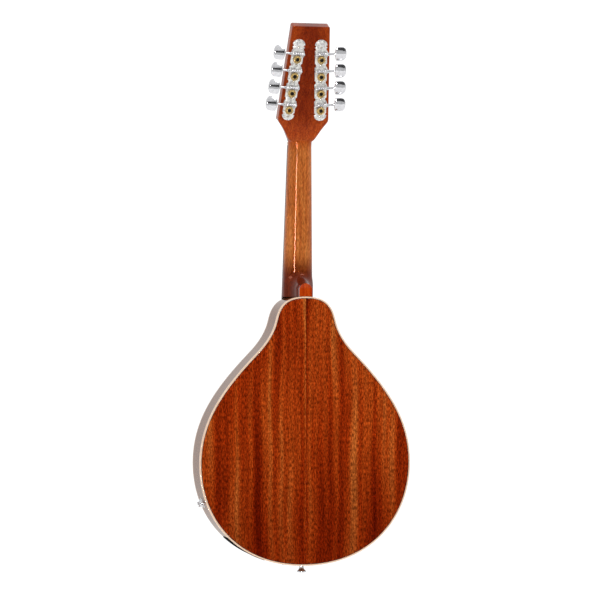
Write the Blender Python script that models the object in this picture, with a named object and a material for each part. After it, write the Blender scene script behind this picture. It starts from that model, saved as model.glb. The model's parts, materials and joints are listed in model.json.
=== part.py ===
"""Bouzouki with a teardrop body, a bolted-on heel, eight worm-geared tuners and a floating bridge.

Frame: metres, +Z up along the instrument, the soundboard faces -Y and the back faces +Y,
+X is the treble side. The origin is on the neck's flat face at the nut.
"""

import math

import bmesh
import bpy
from mathutils import Matrix, Vector

# ---------------------------------------------------------------- driving dimensions (metres)
GAP = 0.0003                        # play between two touching pieces

SCALE_LENGTH = 0.500                # nut to saddle; the body starts at the twelfth fret
BODY_LENGTH = 0.440
BODY_WIDTH = 0.353
BODY_DEPTH = 0.064
PLATE_THICKNESS = 0.003             # soundboard and back
RIM_THICKNESS = 0.0024
BINDING_WIDTH = 0.0024
BINDING_HEIGHT = 0.0055
LINING_WIDTH = 0.0055
LINING_HEIGHT = 0.010
BLOCK_HALF_WIDTH = 0.030
NECK_BLOCK_LENGTH = 0.052
TAIL_BLOCK_LENGTH = 0.024
BRACE_WIDTH = 0.008
BRACE_HEIGHT = 0.013

SOUNDHOLE_RADIUS = 0.041
SOUNDHOLE_FROM_TOP = 0.140
ROSETTE_MARGIN = 0.006              # soundboard left between hole and rosette
ROSETTE_WIDTH = 0.012
ROSETTE_DEPTH = 0.0012

NECK_ANGLE = math.radians(4.0)      # neck against body
HEAD_ANGLE = math.radians(17.0)     # headstock against neck
NUT_WIDTH = 0.0396
JOIN_WIDTH = 0.0506                 # neck width at the body
NECK_DEPTH_NUT = 0.0165
NECK_DEPTH_JOIN = 0.0195
NUT_SHELF = 0.006                   # flat under the nut, before the headstock's bend
HEEL_WIDTH = 0.0215
HEEL_LENGTH = 0.0215                # along the strings, at the heel cap
HEEL_RISE = 0.042                   # how far above the body the heel starts to swell
HEEL_CAP_THICKNESS = 0.0025

FINGERBOARD_THICKNESS = 0.0052
FINGERBOARD_OVER_BODY = 0.080
FRET_COUNT = 18
FRET_HEIGHT = 0.0010
FRET_WIDTH = 0.0022
NUT_THICKNESS = 0.005
NUT_PROUD = 0.0016                  # nut above the fingerboard
ROD_WIDTH = 0.0056
ROD_LENGTH = 0.235

HEAD_LENGTH = 0.2005
HEAD_DEPTH = 0.0150
HEAD_WIDEST = 0.0428                # half width, at HEAD_WIDEST_AT
HEAD_WIDEST_AT = 0.039
HEAD_TOP_HALF = 0.0313
HEAD_END_BEVEL = math.radians(6.0)
HEAD_CORNER = 0.0028
VENEER_THICKNESS = 0.0018

TUNER_PITCH = 0.0287                # between neighbouring posts
TUNER_FIRST = 0.0590                # first post from the headstock's start
TUNER_INSET = 0.0150                # plate's centre line in from the headstock's side
PLATE_WIDTH = 0.0205
PLATE_SHEET = 0.0012
PLATE_BELOW = 0.0180                # plate past the first post
PLATE_ABOVE = 0.0330                # plate past the last post
POST_RADIUS = 0.0030
POST_PROUD = 0.0165                 # post in front of the veneer
POST_WAIST = 0.0006                 # how much thinner the post is where its string winds
GEAR_TEETH = 14
GEAR_PITCH_RADIUS = 0.0066
GEAR_WIDTH = 0.0036
GEAR_ADDENDUM = 0.0006
GEAR_DEDENDUM = 0.0009
WORM_PITCH_RADIUS = 0.0028
WORM_ADDENDUM = 0.00062
WORM_DEDENDUM = 0.00085
WORM_TURNS = 3
SHAFT_RADIUS = 0.0019
COLLAR_RADIUS = 0.0027
LUG_SHEET = 0.0012
LUG_SPAN = 0.0192                   # over both lugs
LUG_LENGTH = 0.0094
BUTTON_FROM_SIDE = 0.0087           # button's inner end out from the headstock
BUTTON_LENGTH = 0.0165
BUTTON_HEIGHT = 0.0237
BUTTON_THICKNESS = 0.0086

STRING_RADII = (0.00058, 0.00042, 0.00044, 0.00030, 0.00024, 0.00024, 0.00018, 0.00018)
COURSE_GAP = 0.0026                 # between the two strings of a course
NUT_MARGIN = 0.0044
BRIDGE_SPREAD = 0.0560
STRING_ACTION = 0.0020              # string over the twelfth fret

BRIDGE_LENGTH = 0.126
BRIDGE_WIDTH = 0.012
SADDLE_WIDTH = 0.0030
SADDLE_HEIGHT = 0.0075
TAILPIECE_LENGTH = 0.068
TAILPIECE_HALF_WIDTH = 0.030
TAILPIECE_SHEET = 0.0014

STRAP_BUTTON_LENGTH = 0.0136
STRAP_BUTTON_RADIUS = 0.0079
JACK_FROM_BOTTOM = 0.105
JACK_RADIUS = 0.0047
JACK_PROUD = 0.0088
JACK_BODY_LENGTH = 0.026

BOX_FROM_BOTTOM = 0.047             # where the battery box's frame starts on the rim
BOX_LENGTH = 0.070                  # along the rim
BOX_WIDTH = 0.046                   # across the rim
BOX_FRAME = 0.005
BOX_PROUD = 0.0010
BOX_WALL = 0.0015
BOX_DEPTH = 0.0285
DOOR_THICKNESS = 0.0016
DOOR_PLAY = 0.0010                  # round the door
HINGE_PIN_RADIUS = 0.0008
HINGE_DEPTH = 0.0024                # pins under the door's face
HINGE_IN_FROM_END = 0.0032
BATTERY_SIZE = (0.0485, 0.0262, 0.0172)
PICKUP_RADIUS = 0.010
PICKUP_THICKNESS = 0.0008

# ---------------------------------------------------------------- derived places
BODY_TOP = -SCALE_LENGTH / 2
BODY_BOTTOM = BODY_TOP - BODY_LENGTH
FRONT = BODY_TOP * math.tan(NECK_ANGLE)       # outer face of the soundboard
BACK = FRONT + BODY_DEPTH                     # outer face of the back
INSIDE_FRONT = FRONT + PLATE_THICKNESS
INSIDE_BACK = BACK - PLATE_THICKNESS
NECK_FRAME = Matrix.Rotation(-NECK_ANGLE, 4, 'X')
HEAD_FRAME = NECK_FRAME @ Matrix.Translation((0, 0, NUT_SHELF)) @ Matrix.Rotation(-HEAD_ANGLE, 4, 'X')
FINGERBOARD_FACE = GAP + FINGERBOARD_THICKNESS
FINGERBOARD_END = BODY_TOP - FINGERBOARD_OVER_BODY
SOUNDHOLE_Z = BODY_TOP - SOUNDHOLE_FROM_TOP
MID_DEPTH = (FRONT + BACK) / 2

# The body's outline from the neck round the treble side to the tail, as Bezier handles:
# x as a share of the half width, z as a share of the length.
OUTLINE_HANDLES = (
    ((0.000, 1.000), (0.181, 1.000), (0.249, 0.971), (0.283, 0.912)),
    ((0.283, 0.912), (0.300, 0.882), (0.342, 0.840), (0.466, 0.790)),
    ((0.466, 0.790), (0.781, 0.660), (1.000, 0.544), (1.000, 0.381)),
    ((1.000, 0.381), (1.000, 0.171), (0.629, 0.000), (0.000, 0.000)),
)
OUTLINE_STEPS = (7, 4, 9, 15)
ROUND_STEPS = 40                    # sides of the soundhole and the rosette


# ---------------------------------------------------------------- materials and objects
def make_material(name, colour, roughness, metallic=0.0):
    material = bpy.data.materials.new(name)
    material.use_nodes = True
    shader = material.node_tree.nodes['Principled BSDF']
    shader.inputs['Base Color'].default_value = (*colour, 1.0)
    shader.inputs['Roughness'].default_value = roughness
    shader.inputs['Metallic'].default_value = metallic
    material.diffuse_color = (*colour, 1.0)
    return material


def make_object(name, mesh_data, material=None, frame=None):
    """Links one object; mesh_data is a bmesh, which is used up, or a mesh."""
    if isinstance(mesh_data, bmesh.types.BMesh):
        bmesh.ops.recalc_face_normals(mesh_data, faces=mesh_data.faces)
        mesh = bpy.data.meshes.new(name)
        mesh_data.to_mesh(mesh)
        mesh_data.free()
        mesh.shade_smooth()
        mesh.set_sharp_from_angle(angle=math.radians(35))
    else:
        mesh = mesh_data
    piece = bpy.data.objects.new(name, mesh)
    bpy.context.scene.collection.objects.link(piece)
    if material:
        piece.data.materials.append(material)
    if frame:
        piece.matrix_world = frame
    return piece


def make_tool(name, mesh_data, frame=None):
    """A cutter or a shape to be joined on; the build leaves it out."""
    tool = make_object(name, mesh_data, None, frame)
    tool.hide_render = True
    tool.display_type = 'WIRE'
    return tool


def combine(piece, tool, operation='DIFFERENCE'):
    modifier = piece.modifiers.new(tool.name, 'BOOLEAN')
    modifier.operation = operation
    modifier.solver = 'EXACT'
    modifier.object = tool


# ---------------------------------------------------------------- solid builders
def loft(rings, close_ring=True):
    """A closed solid through equal rings of points, with a face at each end."""
    solid = bmesh.new()
    rows = [[solid.verts.new(point) for point in ring] for ring in rings]
    count = len(rows[0])
    last = count if close_ring else count - 1
    for row, following in zip(rows, rows[1:]):
        for i in range(last):
            j = (i + 1) % count
            solid.faces.new((row[i], row[j], following[j], following[i]))
    solid.faces.new(reversed(rows[0]))
    solid.faces.new(rows[-1])
    return solid


def prism(points, y_from, y_to):
    """A flat outline in X and Z, extruded along Y."""
    return loft([[(x, y, z) for x, z in points] for y in (y_from, y_to)])


def band(outer, inner, y_from, y_to, closed):
    """A wall of even depth between two matching outlines in X and Z."""
    solid = bmesh.new()
    corners = []
    for (xo, zo), (xi, zi) in zip(outer, inner):
        corners.append([solid.verts.new(p) for p in
                        ((xo, y_from, zo), (xo, y_to, zo), (xi, y_to, zi), (xi, y_from, zi))])
    count = len(corners)
    for i in range(count if closed else count - 1):
        here = corners[i]
        there = corners[(i + 1) % count]
        for k in range(4):
            m = (k + 1) % 4
            solid.faces.new((here[k], here[m], there[m], there[k]))
    if not closed:
        solid.faces.new(reversed(corners[0]))
        solid.faces.new(corners[-1])
    return solid


def box(x, y, z):
    """A box from three (low, high) pairs."""
    return prism([(x[0], z[0]), (x[1], z[0]), (x[1], z[1]), (x[0], z[1])], y[0], y[1])


def turned(profile, sides, axis='Z'):
    """A turned solid: (distance along the axis, radius) pairs with a flat face at both ends."""
    rings = []
    for along, radius in profile:
        ring = []
        for k in range(sides):
            angle = 2 * math.pi * (k + 0.5) / sides
            across = (radius * math.cos(angle), radius * math.sin(angle))
            if axis == 'Z':
                ring.append((across[0], across[1], along))
            else:
                ring.append((across[0], along, across[1]))
        rings.append(ring)
    return loft(rings)


def circle(radius):
    turns = [2 * math.pi * k / ROUND_STEPS for k in range(ROUND_STEPS)]
    return [(radius * math.cos(turn), radius * math.sin(turn)) for turn in turns]


def mirror_x(points):
    return [(-x, z) for x, z in points]


# ---------------------------------------------------------------- the body's outline
def bezier(handles, t):
    a, b, c, d = (Vector(h) for h in handles)
    s = 1 - t
    point = a * s ** 3 + b * (3 * s * s * t) + c * (3 * s * t * t) + d * t ** 3
    slope = (b - a) * (3 * s * s) + (c - b) * (6 * s * t) + (d - c) * (3 * t * t)
    return point, slope


def outline_half(inset=0.0, steps=OUTLINE_STEPS):
    """Treble half of the body's outline, neck to tail, moved inwards by inset."""
    points = []
    for handles, count in zip(OUTLINE_HANDLES, steps):
        scaled = [(x * BODY_WIDTH / 2, BODY_BOTTOM + z * BODY_LENGTH) for x, z in handles]
        first = 1 if points else 0
        for k in range(first, count + 1):
            point, slope = bezier(scaled, k / count)
            outward = Vector((-slope.y, slope.x)).normalized()
            points.append((point.x - inset * outward.x, point.y - inset * outward.y))
    points[0] = (0.0, points[0][1])
    points[-1] = (0.0, points[-1][1])
    return points


def outline_full(inset=0.0):
    half = outline_half(inset)
    return half + mirror_x(half[-2:0:-1])


def outline_stretch(height_from, skipped, length, inset, count):
    """Points of the treble side: from a height over the tail, past a skipped stretch, for a length."""
    fine = outline_half(0.0, tuple(n * 12 for n in OUTLINE_STEPS))
    shifted = outline_half(inset, tuple(n * 12 for n in OUTLINE_STEPS))
    start = next(i for i, p in enumerate(fine)
                 if p[0] > BODY_WIDTH / 4 and p[1] < BODY_BOTTOM + height_from)
    travelled = [0.0]
    for here, there in zip(fine[start:], fine[start + 1:]):
        travelled.append(travelled[-1] + math.dist(here, there))
    points = []
    for k in range(count + 1):
        target = skipped + length * k / count
        i = next(n for n, value in enumerate(travelled) if value >= target)
        if i == 0:
            points.append(shifted[start])
            continue
        share = (target - travelled[i - 1]) / (travelled[i] - travelled[i - 1])
        before = Vector(shifted[start + i - 1])
        after = Vector(shifted[start + i])
        points.append(tuple(before.lerp(after, share)))
    return points


def rim_frame(height, y):
    """A frame on the treble rim: local Z points out of the wood, local X runs towards the tail."""
    start, onward = outline_stretch(height, 0.0, 0.001, 0.0, 1)
    along = Vector((onward[0] - start[0], 0, onward[1] - start[1])).normalized()
    across = Vector((0, 1, 0))
    outward = along.cross(across)
    if outward.x < 0:
        outward = -outward
        across = -across
    frame = Matrix((along, across, outward)).transposed().to_4x4()
    frame.translation = (start[0], y, start[1])
    return frame


def half_width_at(z, inset):
    """Half width inside the outline at a height."""
    points = outline_half(inset)
    for (x0, z0), (x1, z1) in zip(points, points[1:]):
        if z1 <= z <= z0 and z0 != z1:
            return x0 + (x1 - x0) * (z0 - z) / (z0 - z1)
    raise ValueError('no body at this height')


# ---------------------------------------------------------------- the body
def build_plates(spruce, mahogany):
    inset = BINDING_WIDTH + GAP
    soundboard = make_object('soundboard', prism(outline_full(inset), FRONT, INSIDE_FRONT), spruce)
    through = [(FRONT - 0.01, SOUNDHOLE_RADIUS), (INSIDE_FRONT + 0.01, SOUNDHOLE_RADIUS)]
    hole = turned(through, ROUND_STEPS, 'Y')
    combine(soundboard, make_tool('soundhole_cutter', hole, Matrix.Translation((0, 0, SOUNDHOLE_Z))))
    inner = SOUNDHOLE_RADIUS + ROSETTE_MARGIN
    outer = inner + ROSETTE_WIDTH
    place = Matrix.Translation((0, 0, SOUNDHOLE_Z))
    channel = band(circle(outer), circle(inner), FRONT - 0.01, FRONT + ROSETTE_DEPTH, True)
    combine(soundboard, make_tool('rosette_cutter', channel, place))
    inlay = band(circle(outer - GAP), circle(inner + GAP), FRONT, FRONT + ROSETTE_DEPTH - GAP, True)
    make_object('rosette', inlay, make_material('rosette_inlay', (0.08, 0.05, 0.03), 0.3), place)

    half = outline_half(inset)
    treble = [(max(x, GAP / 2), z) for x, z in half]
    make_object('back_plate_treble', prism(treble, INSIDE_BACK, BACK), mahogany)
    make_object('back_plate_bass', prism(mirror_x(treble), INSIDE_BACK, BACK), mahogany)


def build_bindings(cream):
    outer = outline_full()
    inner = outline_full(BINDING_WIDTH)
    make_object('top_binding', band(outer, inner, FRONT, FRONT + BINDING_HEIGHT, True), cream)
    make_object('back_binding', band(outer, inner, BACK - BINDING_HEIGHT, BACK, True), cream)


def build_rims(mahogany):
    outer = outline_half()
    inner = outline_half(RIM_THICKNESS)
    y_from = FRONT + BINDING_HEIGHT + GAP
    y_to = BACK - BINDING_HEIGHT - GAP

    def off_centre(points):
        return [(max(x, GAP / 2), z) for x, z in points]

    treble = make_object('rim_treble', band(off_centre(outer), off_centre(inner), y_from, y_to, False),
                         mahogany)
    make_object('rim_bass', band(mirror_x(off_centre(outer)), mirror_x(off_centre(inner)),
                                 y_from, y_to, False), mahogany)
    return treble


def block_outline(low, high, inset):
    """The rim's inner curve where an end block touches it, between two heights."""
    return [(x, z) for x, z in outline_half(inset) if x < BLOCK_HALF_WIDTH and low <= z <= high]


def build_blocks(mahogany):
    inset = RIM_THICKNESS + GAP
    y_from = INSIDE_FRONT + GAP
    y_to = INSIDE_BACK - GAP
    upper = block_outline(BODY_TOP - NECK_BLOCK_LENGTH, BODY_TOP, inset)
    corner = (BLOCK_HALF_WIDTH, BODY_TOP - NECK_BLOCK_LENGTH)
    edge = half_edge_height(inset, upper=True)
    points = upper + [(BLOCK_HALF_WIDTH, edge), corner]
    make_object('neck_block', prism(points + mirror_x(points[:0:-1]), y_from, y_to), mahogany)

    lower = block_outline(BODY_BOTTOM, BODY_BOTTOM + TAIL_BLOCK_LENGTH, inset)
    corner = (BLOCK_HALF_WIDTH, BODY_BOTTOM + TAIL_BLOCK_LENGTH)
    edge = half_edge_height(inset, upper=False)
    points = [corner, (BLOCK_HALF_WIDTH, edge)] + lower
    tail = make_object('tail_block', prism(points + mirror_x(points[-2::-1]), y_from, y_to), mahogany)
    return tail


def half_edge_height(inset, upper):
    """Height at which the inner outline is as wide as an end block."""
    points = outline_half(inset)
    if not upper:
        points = points[::-1]
    for (x0, z0), (x1, z1) in zip(points, points[1:]):
        if x0 <= BLOCK_HALF_WIDTH <= x1:
            return z0 + (z1 - z0) * (BLOCK_HALF_WIDTH - x0) / (x1 - x0)
    raise ValueError('the body is narrower than its end block')


def build_linings(light_wood):
    outer = outline_half(RIM_THICKNESS + GAP)
    inner = outline_half(RIM_THICKNESS + GAP + LINING_WIDTH)
    clear = BLOCK_HALF_WIDTH + GAP
    kept = [i for i in range(len(outer)) if min(outer[i][0], inner[i][0]) > clear]
    outer = [outer[i] for i in kept]
    inner = [inner[i] for i in kept]
    layers = (('top_lining', INSIDE_FRONT + GAP, INSIDE_FRONT + GAP + LINING_HEIGHT),
              ('back_lining', INSIDE_BACK - GAP - LINING_HEIGHT, INSIDE_BACK - GAP))
    for name, y_from, y_to in layers:
        make_object(name + '_treble', band(outer, inner, y_from, y_to, False), light_wood)
        make_object(name + '_bass', band(mirror_x(outer), mirror_x(inner), y_from, y_to, False), light_wood)


def build_braces(spruce):
    places = (('soundboard_brace_upper', SOUNDHOLE_Z + SOUNDHOLE_RADIUS + 0.022, True),
              ('soundboard_brace_lower', SOUNDHOLE_Z - SOUNDHOLE_RADIUS - 0.022, True),
              ('back_brace_upper', BODY_TOP - 0.36 * BODY_LENGTH, False),
              ('back_brace_lower', BODY_TOP - 0.70 * BODY_LENGTH, False))
    inset = RIM_THICKNESS + GAP + LINING_WIDTH + GAP
    for name, z, on_top in places:
        half = min(half_width_at(z + BRACE_WIDTH / 2, inset), half_width_at(z - BRACE_WIDTH / 2, inset))
        half -= GAP
        root = INSIDE_FRONT + GAP if on_top else INSIDE_BACK - GAP
        rise = BRACE_HEIGHT if on_top else -BRACE_HEIGHT
        scoop = 0.022
        profile = [(-half, root), (half, root), (half, root + 0.25 * rise), (half - scoop, root + rise),
                   (-half + scoop, root + rise), (-half, root + 0.25 * rise)]
        rings = [[(x, y, z + side * BRACE_WIDTH / 2) for x, y in profile] for side in (-1, 1)]
        make_object(name, loft(rings), spruce)


# ---------------------------------------------------------------- the neck
def neck_half_width(u):
    """Half width of neck and fingerboard at a distance u up the neck (negative towards the body)."""
    share = -u / (SCALE_LENGTH / 2)
    return (NUT_WIDTH + (JOIN_WIDTH - NUT_WIDTH) * share) / 2


def head_half_width(z):
    """Half width of the headstock at a distance z from the bend."""
    if z >= HEAD_WIDEST_AT:
        share = (z - HEAD_WIDEST_AT) / (HEAD_LENGTH - HEAD_WIDEST_AT)
        return HEAD_WIDEST + (HEAD_TOP_HALF - HEAD_WIDEST) * share
    flare = ((0.0, 0.0), (0.15, 0.09), (0.53, 0.41), (0.885, 0.85), (1.0, 1.0))
    share = max(z, 0) / HEAD_WIDEST_AT
    for (a, va), (b, vb) in zip(flare, flare[1:]):
        if a <= share <= b:
            base = NUT_WIDTH / 2
            return base + (HEAD_WIDEST - base) * (va + (vb - va) * (share - a) / (b - a))
    return NUT_WIDTH / 2


def neck_section(frame, half, depth, squareness, shear=0.0, sides=12):
    """One slice of the neck: flat in front, its back round or, with high squareness, nearly flat."""
    ring = []
    for k in range(sides + 1):
        angle = math.pi * k / sides
        across = math.cos(angle)
        back = math.sin(angle) if 0 < k < sides else 0.0
        x = half * math.copysign(abs(across) ** (2 / squareness), across)
        y = depth * back ** (2 / squareness)
        ring.append(frame @ Vector((x, y, -shear * y)))
    return ring


def neck_slices():
    slices = []
    shaft_end = BODY_TOP - 0.012
    for k in range(6):
        u = shaft_end + (-0.004 - shaft_end) * k / 5
        share = -u / (SCALE_LENGTH / 2)
        depth = NECK_DEPTH_NUT + (NECK_DEPTH_JOIN - NECK_DEPTH_NUT) * share
        place = NECK_FRAME @ Matrix.Translation((0, 0, u))
        slices.append(neck_section(place, neck_half_width(u), depth, 2.3))
    bend = NECK_FRAME @ Matrix.Translation((0, 0, NUT_SHELF)) @ Matrix.Rotation(-HEAD_ANGLE / 2, 4, 'X')
    slices.append(neck_section(NECK_FRAME @ Matrix.Translation((0, 0, 0.0005)), NUT_WIDTH / 2,
                               NECK_DEPTH_NUT, 2.4))
    slices.append(neck_section(bend, NUT_WIDTH / 2, NECK_DEPTH_NUT, 2.8))
    rises = [share * HEAD_WIDEST_AT for share in (0.15, 0.25, 0.34, 0.43, 0.53, 0.65, 0.77, 0.885)]
    rises += [HEAD_WIDEST_AT + offset for offset in (-0.001, 0.0015, 0.005)]
    for z in rises:
        half = head_half_width(z)
        if abs(z - HEAD_WIDEST_AT) < 0.003:
            half -= 0.0007
        square = min(18.0, 3.2 + 14.8 * z / 0.021)
        slices.append(neck_section(HEAD_FRAME @ Matrix.Translation((0, 0, z)), half, HEAD_DEPTH, square))
    shear = math.tan(HEAD_END_BEVEL)
    for k in range(6):
        angle = math.pi / 2 * k / 5
        z = HEAD_LENGTH - HEAD_CORNER * (1 - math.sin(angle))
        half = head_half_width(z) - HEAD_CORNER * (1 - math.cos(angle))
        slices.append(neck_section(HEAD_FRAME @ Matrix.Translation((0, 0, z)), half, HEAD_DEPTH, 18.0, shear))
    return slices


def heel_outline(half, top, bottom, arc_steps=10):
    """A heel slice in X and Z: straight sides and a round top."""
    rise = min(half, top - bottom - 0.001)
    points = [(half, bottom), (half, top - rise)]
    for k in range(1, arc_steps):
        angle = math.pi * k / arc_steps
        points.append((half * math.cos(angle), top - rise + rise * math.sin(angle)))
    points += [(-half, top - rise), (-half, bottom)]
    return points


def heel_slices():
    depth_to = BACK - HEEL_CAP_THICKNESS - GAP
    depth_from = FRONT + 0.012
    bottom = BODY_TOP - 0.010
    rings = []
    steps = 10
    for k in range(steps + 1):
        share = k / steps
        y = depth_from + (depth_to - depth_from) * share
        waist = (1 - min(share / 0.55, 1.0)) ** 1.7
        half = HEEL_WIDTH / 2 + (JOIN_WIDTH / 2 - 0.0022 - HEEL_WIDTH / 2) * waist
        top = BODY_TOP + HEEL_LENGTH + (HEEL_RISE - HEEL_LENGTH) * (1 - share) ** 2.2
        rings.append([(x, y, z) for x, z in heel_outline(half, top, bottom)])
    return rings


def post_places():
    """The eight posts in the headstock's frame, first to last on each side; sign is the side."""
    slope = (HEAD_WIDEST - HEAD_TOP_HALF) / (HEAD_LENGTH - HEAD_WIDEST_AT)
    for side in (-1, 1):
        for row in range(4):
            z = TUNER_FIRST + row * TUNER_PITCH
            x = head_half_width(z) - TUNER_INSET
            yield side, row, side * x, z, math.atan(slope)


def post_hole_cutters(radius, y_from, y_to, label):
    cutters = bmesh.new()
    for side, row, x, z, _ in post_places():
        hole = turned([(y_from, radius), (y_to, radius)], 10, 'Y')
        bmesh.ops.translate(hole, verts=hole.verts, vec=(x, 0, z))
        mesh = bpy.data.meshes.new('hole')
        hole.to_mesh(mesh)
        hole.free()
        cutters.from_mesh(mesh)
    return make_tool(label, cutters, HEAD_FRAME)


def build_neck(mahogany):
    neck = make_object('neck', loft(neck_slices()), mahogany)
    combine(neck, make_tool('heel_shape', loft(heel_slices())), 'UNION')
    envelope = prism(outline_full(-GAP), FRONT - 0.010, BACK + 0.010)
    combine(neck, make_tool('body_envelope', envelope))
    half = ROD_WIDTH / 2 + GAP
    slot = box((-half, half), (-0.010, ROD_WIDTH + 2 * GAP), (-ROD_LENGTH - GAP, 0.0125))
    combine(neck, make_tool('rod_slot_cutter', slot, NECK_FRAME))
    combine(neck, post_hole_cutters(POST_RADIUS + 0.0018, -0.02, HEAD_DEPTH + 0.02, 'post_hole_cutter'))

    cap = [(x, z) for x, z in heel_outline(HEEL_WIDTH / 2 - 0.0002, BODY_TOP + HEEL_LENGTH, BODY_TOP - 0.010)]
    heel_cap = make_object('heel_cap', prism(cap, BACK - HEEL_CAP_THICKNESS, BACK - 0.0002),
                           make_material('heel_cap_wood', (0.45, 0.09, 0.01), 0.15))
    combine(heel_cap, bpy.data.objects['body_envelope'])


def build_truss_rod(steel):
    rod = turned([(-ROD_LENGTH, ROD_WIDTH / 2), (0.0115, ROD_WIDTH / 2)], 10)
    make_object('truss_rod', rod, steel,
                NECK_FRAME @ Matrix.Translation((0, ROD_WIDTH / 2 + GAP, 0)))


def fret_distance(number):
    return SCALE_LENGTH * (1 - 2 ** (-number / 12))


def build_fingerboard(rosewood):
    """Board and frets in one loft of upright slices, from the nut to the soundhole."""
    def slice_at(u, raised):
        over_soundboard = (FRONT - GAP - u * math.sin(NECK_ANGLE)) / math.cos(NECK_ANGLE)
        bottom = max(over_soundboard, -GAP) if u < BODY_TOP else -GAP
        top = -FINGERBOARD_FACE - (FRET_HEIGHT if raised else 0.0)
        half = neck_half_width(u)
        return [NECK_FRAME @ Vector(p) for p in
                ((-half, bottom, u), (half, bottom, u), (half, top, u), (-half, top, u))]

    stations = [(-GAP, False)]
    for number in range(1, FRET_COUNT + 1):
        centre = -fret_distance(number)
        for offset, raised in ((FRET_WIDTH / 2, False), (FRET_WIDTH / 4, True),
                               (-FRET_WIDTH / 4, True), (-FRET_WIDTH / 2, False)):
            stations.append((centre + offset, raised))
    stations.append((BODY_TOP + 0.0015, False))
    stations.append((FINGERBOARD_END, False))
    stations.sort(key=lambda station: -station[0])
    make_object('fingerboard', loft([slice_at(u, raised) for u, raised in stations]), rosewood)


def string_places():
    """X of each string at nut and at bridge, bass to treble."""
    nut_span = NUT_WIDTH - 2 * NUT_MARGIN - COURSE_GAP
    bridge_span = BRIDGE_SPREAD - COURSE_GAP
    places = []
    for course in range(4):
        share = course / 3 - 0.5
        for member in (-0.5, 0.5):
            places.append((share * nut_span + member * COURSE_GAP,
                           share * bridge_span + member * COURSE_GAP * 1.15))
    return places


def build_nut(bone):
    """A bone nut with one slot for each string, extruded along the neck."""
    floor = -FINGERBOARD_FACE - FRET_HEIGHT - 0.0002
    top = -FINGERBOARD_FACE - NUT_PROUD
    half = NUT_WIDTH / 2
    profile = [(-half, -GAP), (half, -GAP), (half, top)]
    for radius, (x, _) in reversed(list(zip(STRING_RADII, string_places()))):
        slot = radius + 0.0004
        profile += [(x + slot, top), (x + slot, floor + 0.0001), (x - slot, floor + 0.0001), (x - slot, top)]
    profile.append((-half, top))
    rings = [[(x, y, z) for x, y in profile] for z in (GAP, NUT_THICKNESS)]
    make_object('nut', loft(rings), bone, NECK_FRAME)


# ---------------------------------------------------------------- the headstock's front
def build_veneer(rosewood, plastic):
    lower = [0.0008] + [share * HEAD_WIDEST_AT for share in (0.15, 0.25, 0.34, 0.43, 0.53, 0.65, 0.77, 0.885)]
    lower += [HEAD_WIDEST_AT + offset for offset in (-0.001, 0.0015, 0.005)]
    right = []
    for z in lower:
        trim = 0.0007 if abs(z - HEAD_WIDEST_AT) < 0.003 else 0.0
        right.append((head_half_width(z) - trim, z))
    for k in range(6):
        angle = math.pi / 2 * k / 5
        z = HEAD_LENGTH - HEAD_CORNER * (1 - math.sin(angle))
        right.append((head_half_width(z) - HEAD_CORNER * (1 - math.cos(angle)), z))
    points = right + mirror_x(right)[::-1]
    sheet = prism(points, -GAP - VENEER_THICKNESS, -GAP)
    veneer = make_object('headstock_veneer', sheet, rosewood, HEAD_FRAME)
    combine(veneer, post_hole_cutters(POST_RADIUS + 0.0018, -0.02, 0.01, 'veneer_hole_cutter'))
    combine(veneer, bpy.data.objects['rod_slot_cutter'])

    waist = ((0.0100, 0.0012), (0.0095, 0.008), (0.0065, 0.018), (0.0050, 0.026), (0.0044, 0.034),
             (0.0030, 0.0385), (0.0, 0.040))
    bell = list(waist) + mirror_x(waist[:-1])[::-1]
    front = -GAP - VENEER_THICKNESS - GAP
    make_object('truss_rod_cover', prism(bell, front - 0.0018, front), plastic, HEAD_FRAME)


# ---------------------------------------------------------------- tuners
PLATE_BACK = HEAD_DEPTH + GAP                       # plate's underside in the headstock's frame
PLATE_FACE = PLATE_BACK + PLATE_SHEET
WORM_OUTER = WORM_PITCH_RADIUS + WORM_ADDENDUM
WORM_ROOT = WORM_PITCH_RADIUS - WORM_DEDENDUM
GEAR_LEVEL = PLATE_FACE + GAP + WORM_OUTER          # middle of the gear and axis of the worm
CENTRE_DISTANCE = GEAR_PITCH_RADIUS + WORM_PITCH_RADIUS
WORM_PITCH = 2 * math.pi * GEAR_PITCH_RADIUS / GEAR_TEETH


def plate_outline(half_length_low, half_length_high):
    """Right edge of the plate from its lower to its upper end: scallops, notches and round ends."""
    half = PLATE_WIDTH / 2
    points = []
    for k in range(1, 6):
        angle = math.pi / 2 * (1 - k / 5)
        points.append((half * math.cos(angle), -half_length_low + 0.0095 - 0.0095 * math.sin(angle)))
    low = -half_length_low + 0.0095
    points += [(half - 0.0022, low + 0.0012), (half - 0.0022, low + 0.0028), (half - 0.0004, low + 0.0040)]
    for row in range(4):
        middle = row * TUNER_PITCH
        points += [(half - 0.0004, middle + 0.0045), (half, middle + 0.0050), (half, middle + 0.0145)]
        if row < 3:
            points += [(half - 0.0018, middle + 0.0160), (half - 0.0018, middle + 0.0190),
                       (half - 0.0004, middle + 0.0215)]
    high = 3 * TUNER_PITCH + half_length_high - 0.0095
    points += [(half - 0.0016, high - 0.0080), (half - 0.0016, high - 0.0052), (half - 0.0002, high - 0.0044),
               (half - 0.0002, high - 0.0028), (half - 0.0022, high - 0.0020), (half - 0.0022, high - 0.0006)]
    for k in range(0, 5):
        angle = math.pi / 2 * k / 5
        points.append((half * math.cos(angle), high + 0.0095 * math.sin(angle)))
    return points


def plate_frame(side):
    """Frame of a tuner plate: at its first post, local Z up along the plate, local X outwards."""
    for place_side, row, x, z, lean in post_places():
        if place_side == side and row == 0:
            return HEAD_FRAME @ Matrix.Translation((x, 0, z)) @ Matrix.Rotation(-side * lean, 4, 'Y')
    raise ValueError('no post on this side')


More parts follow.
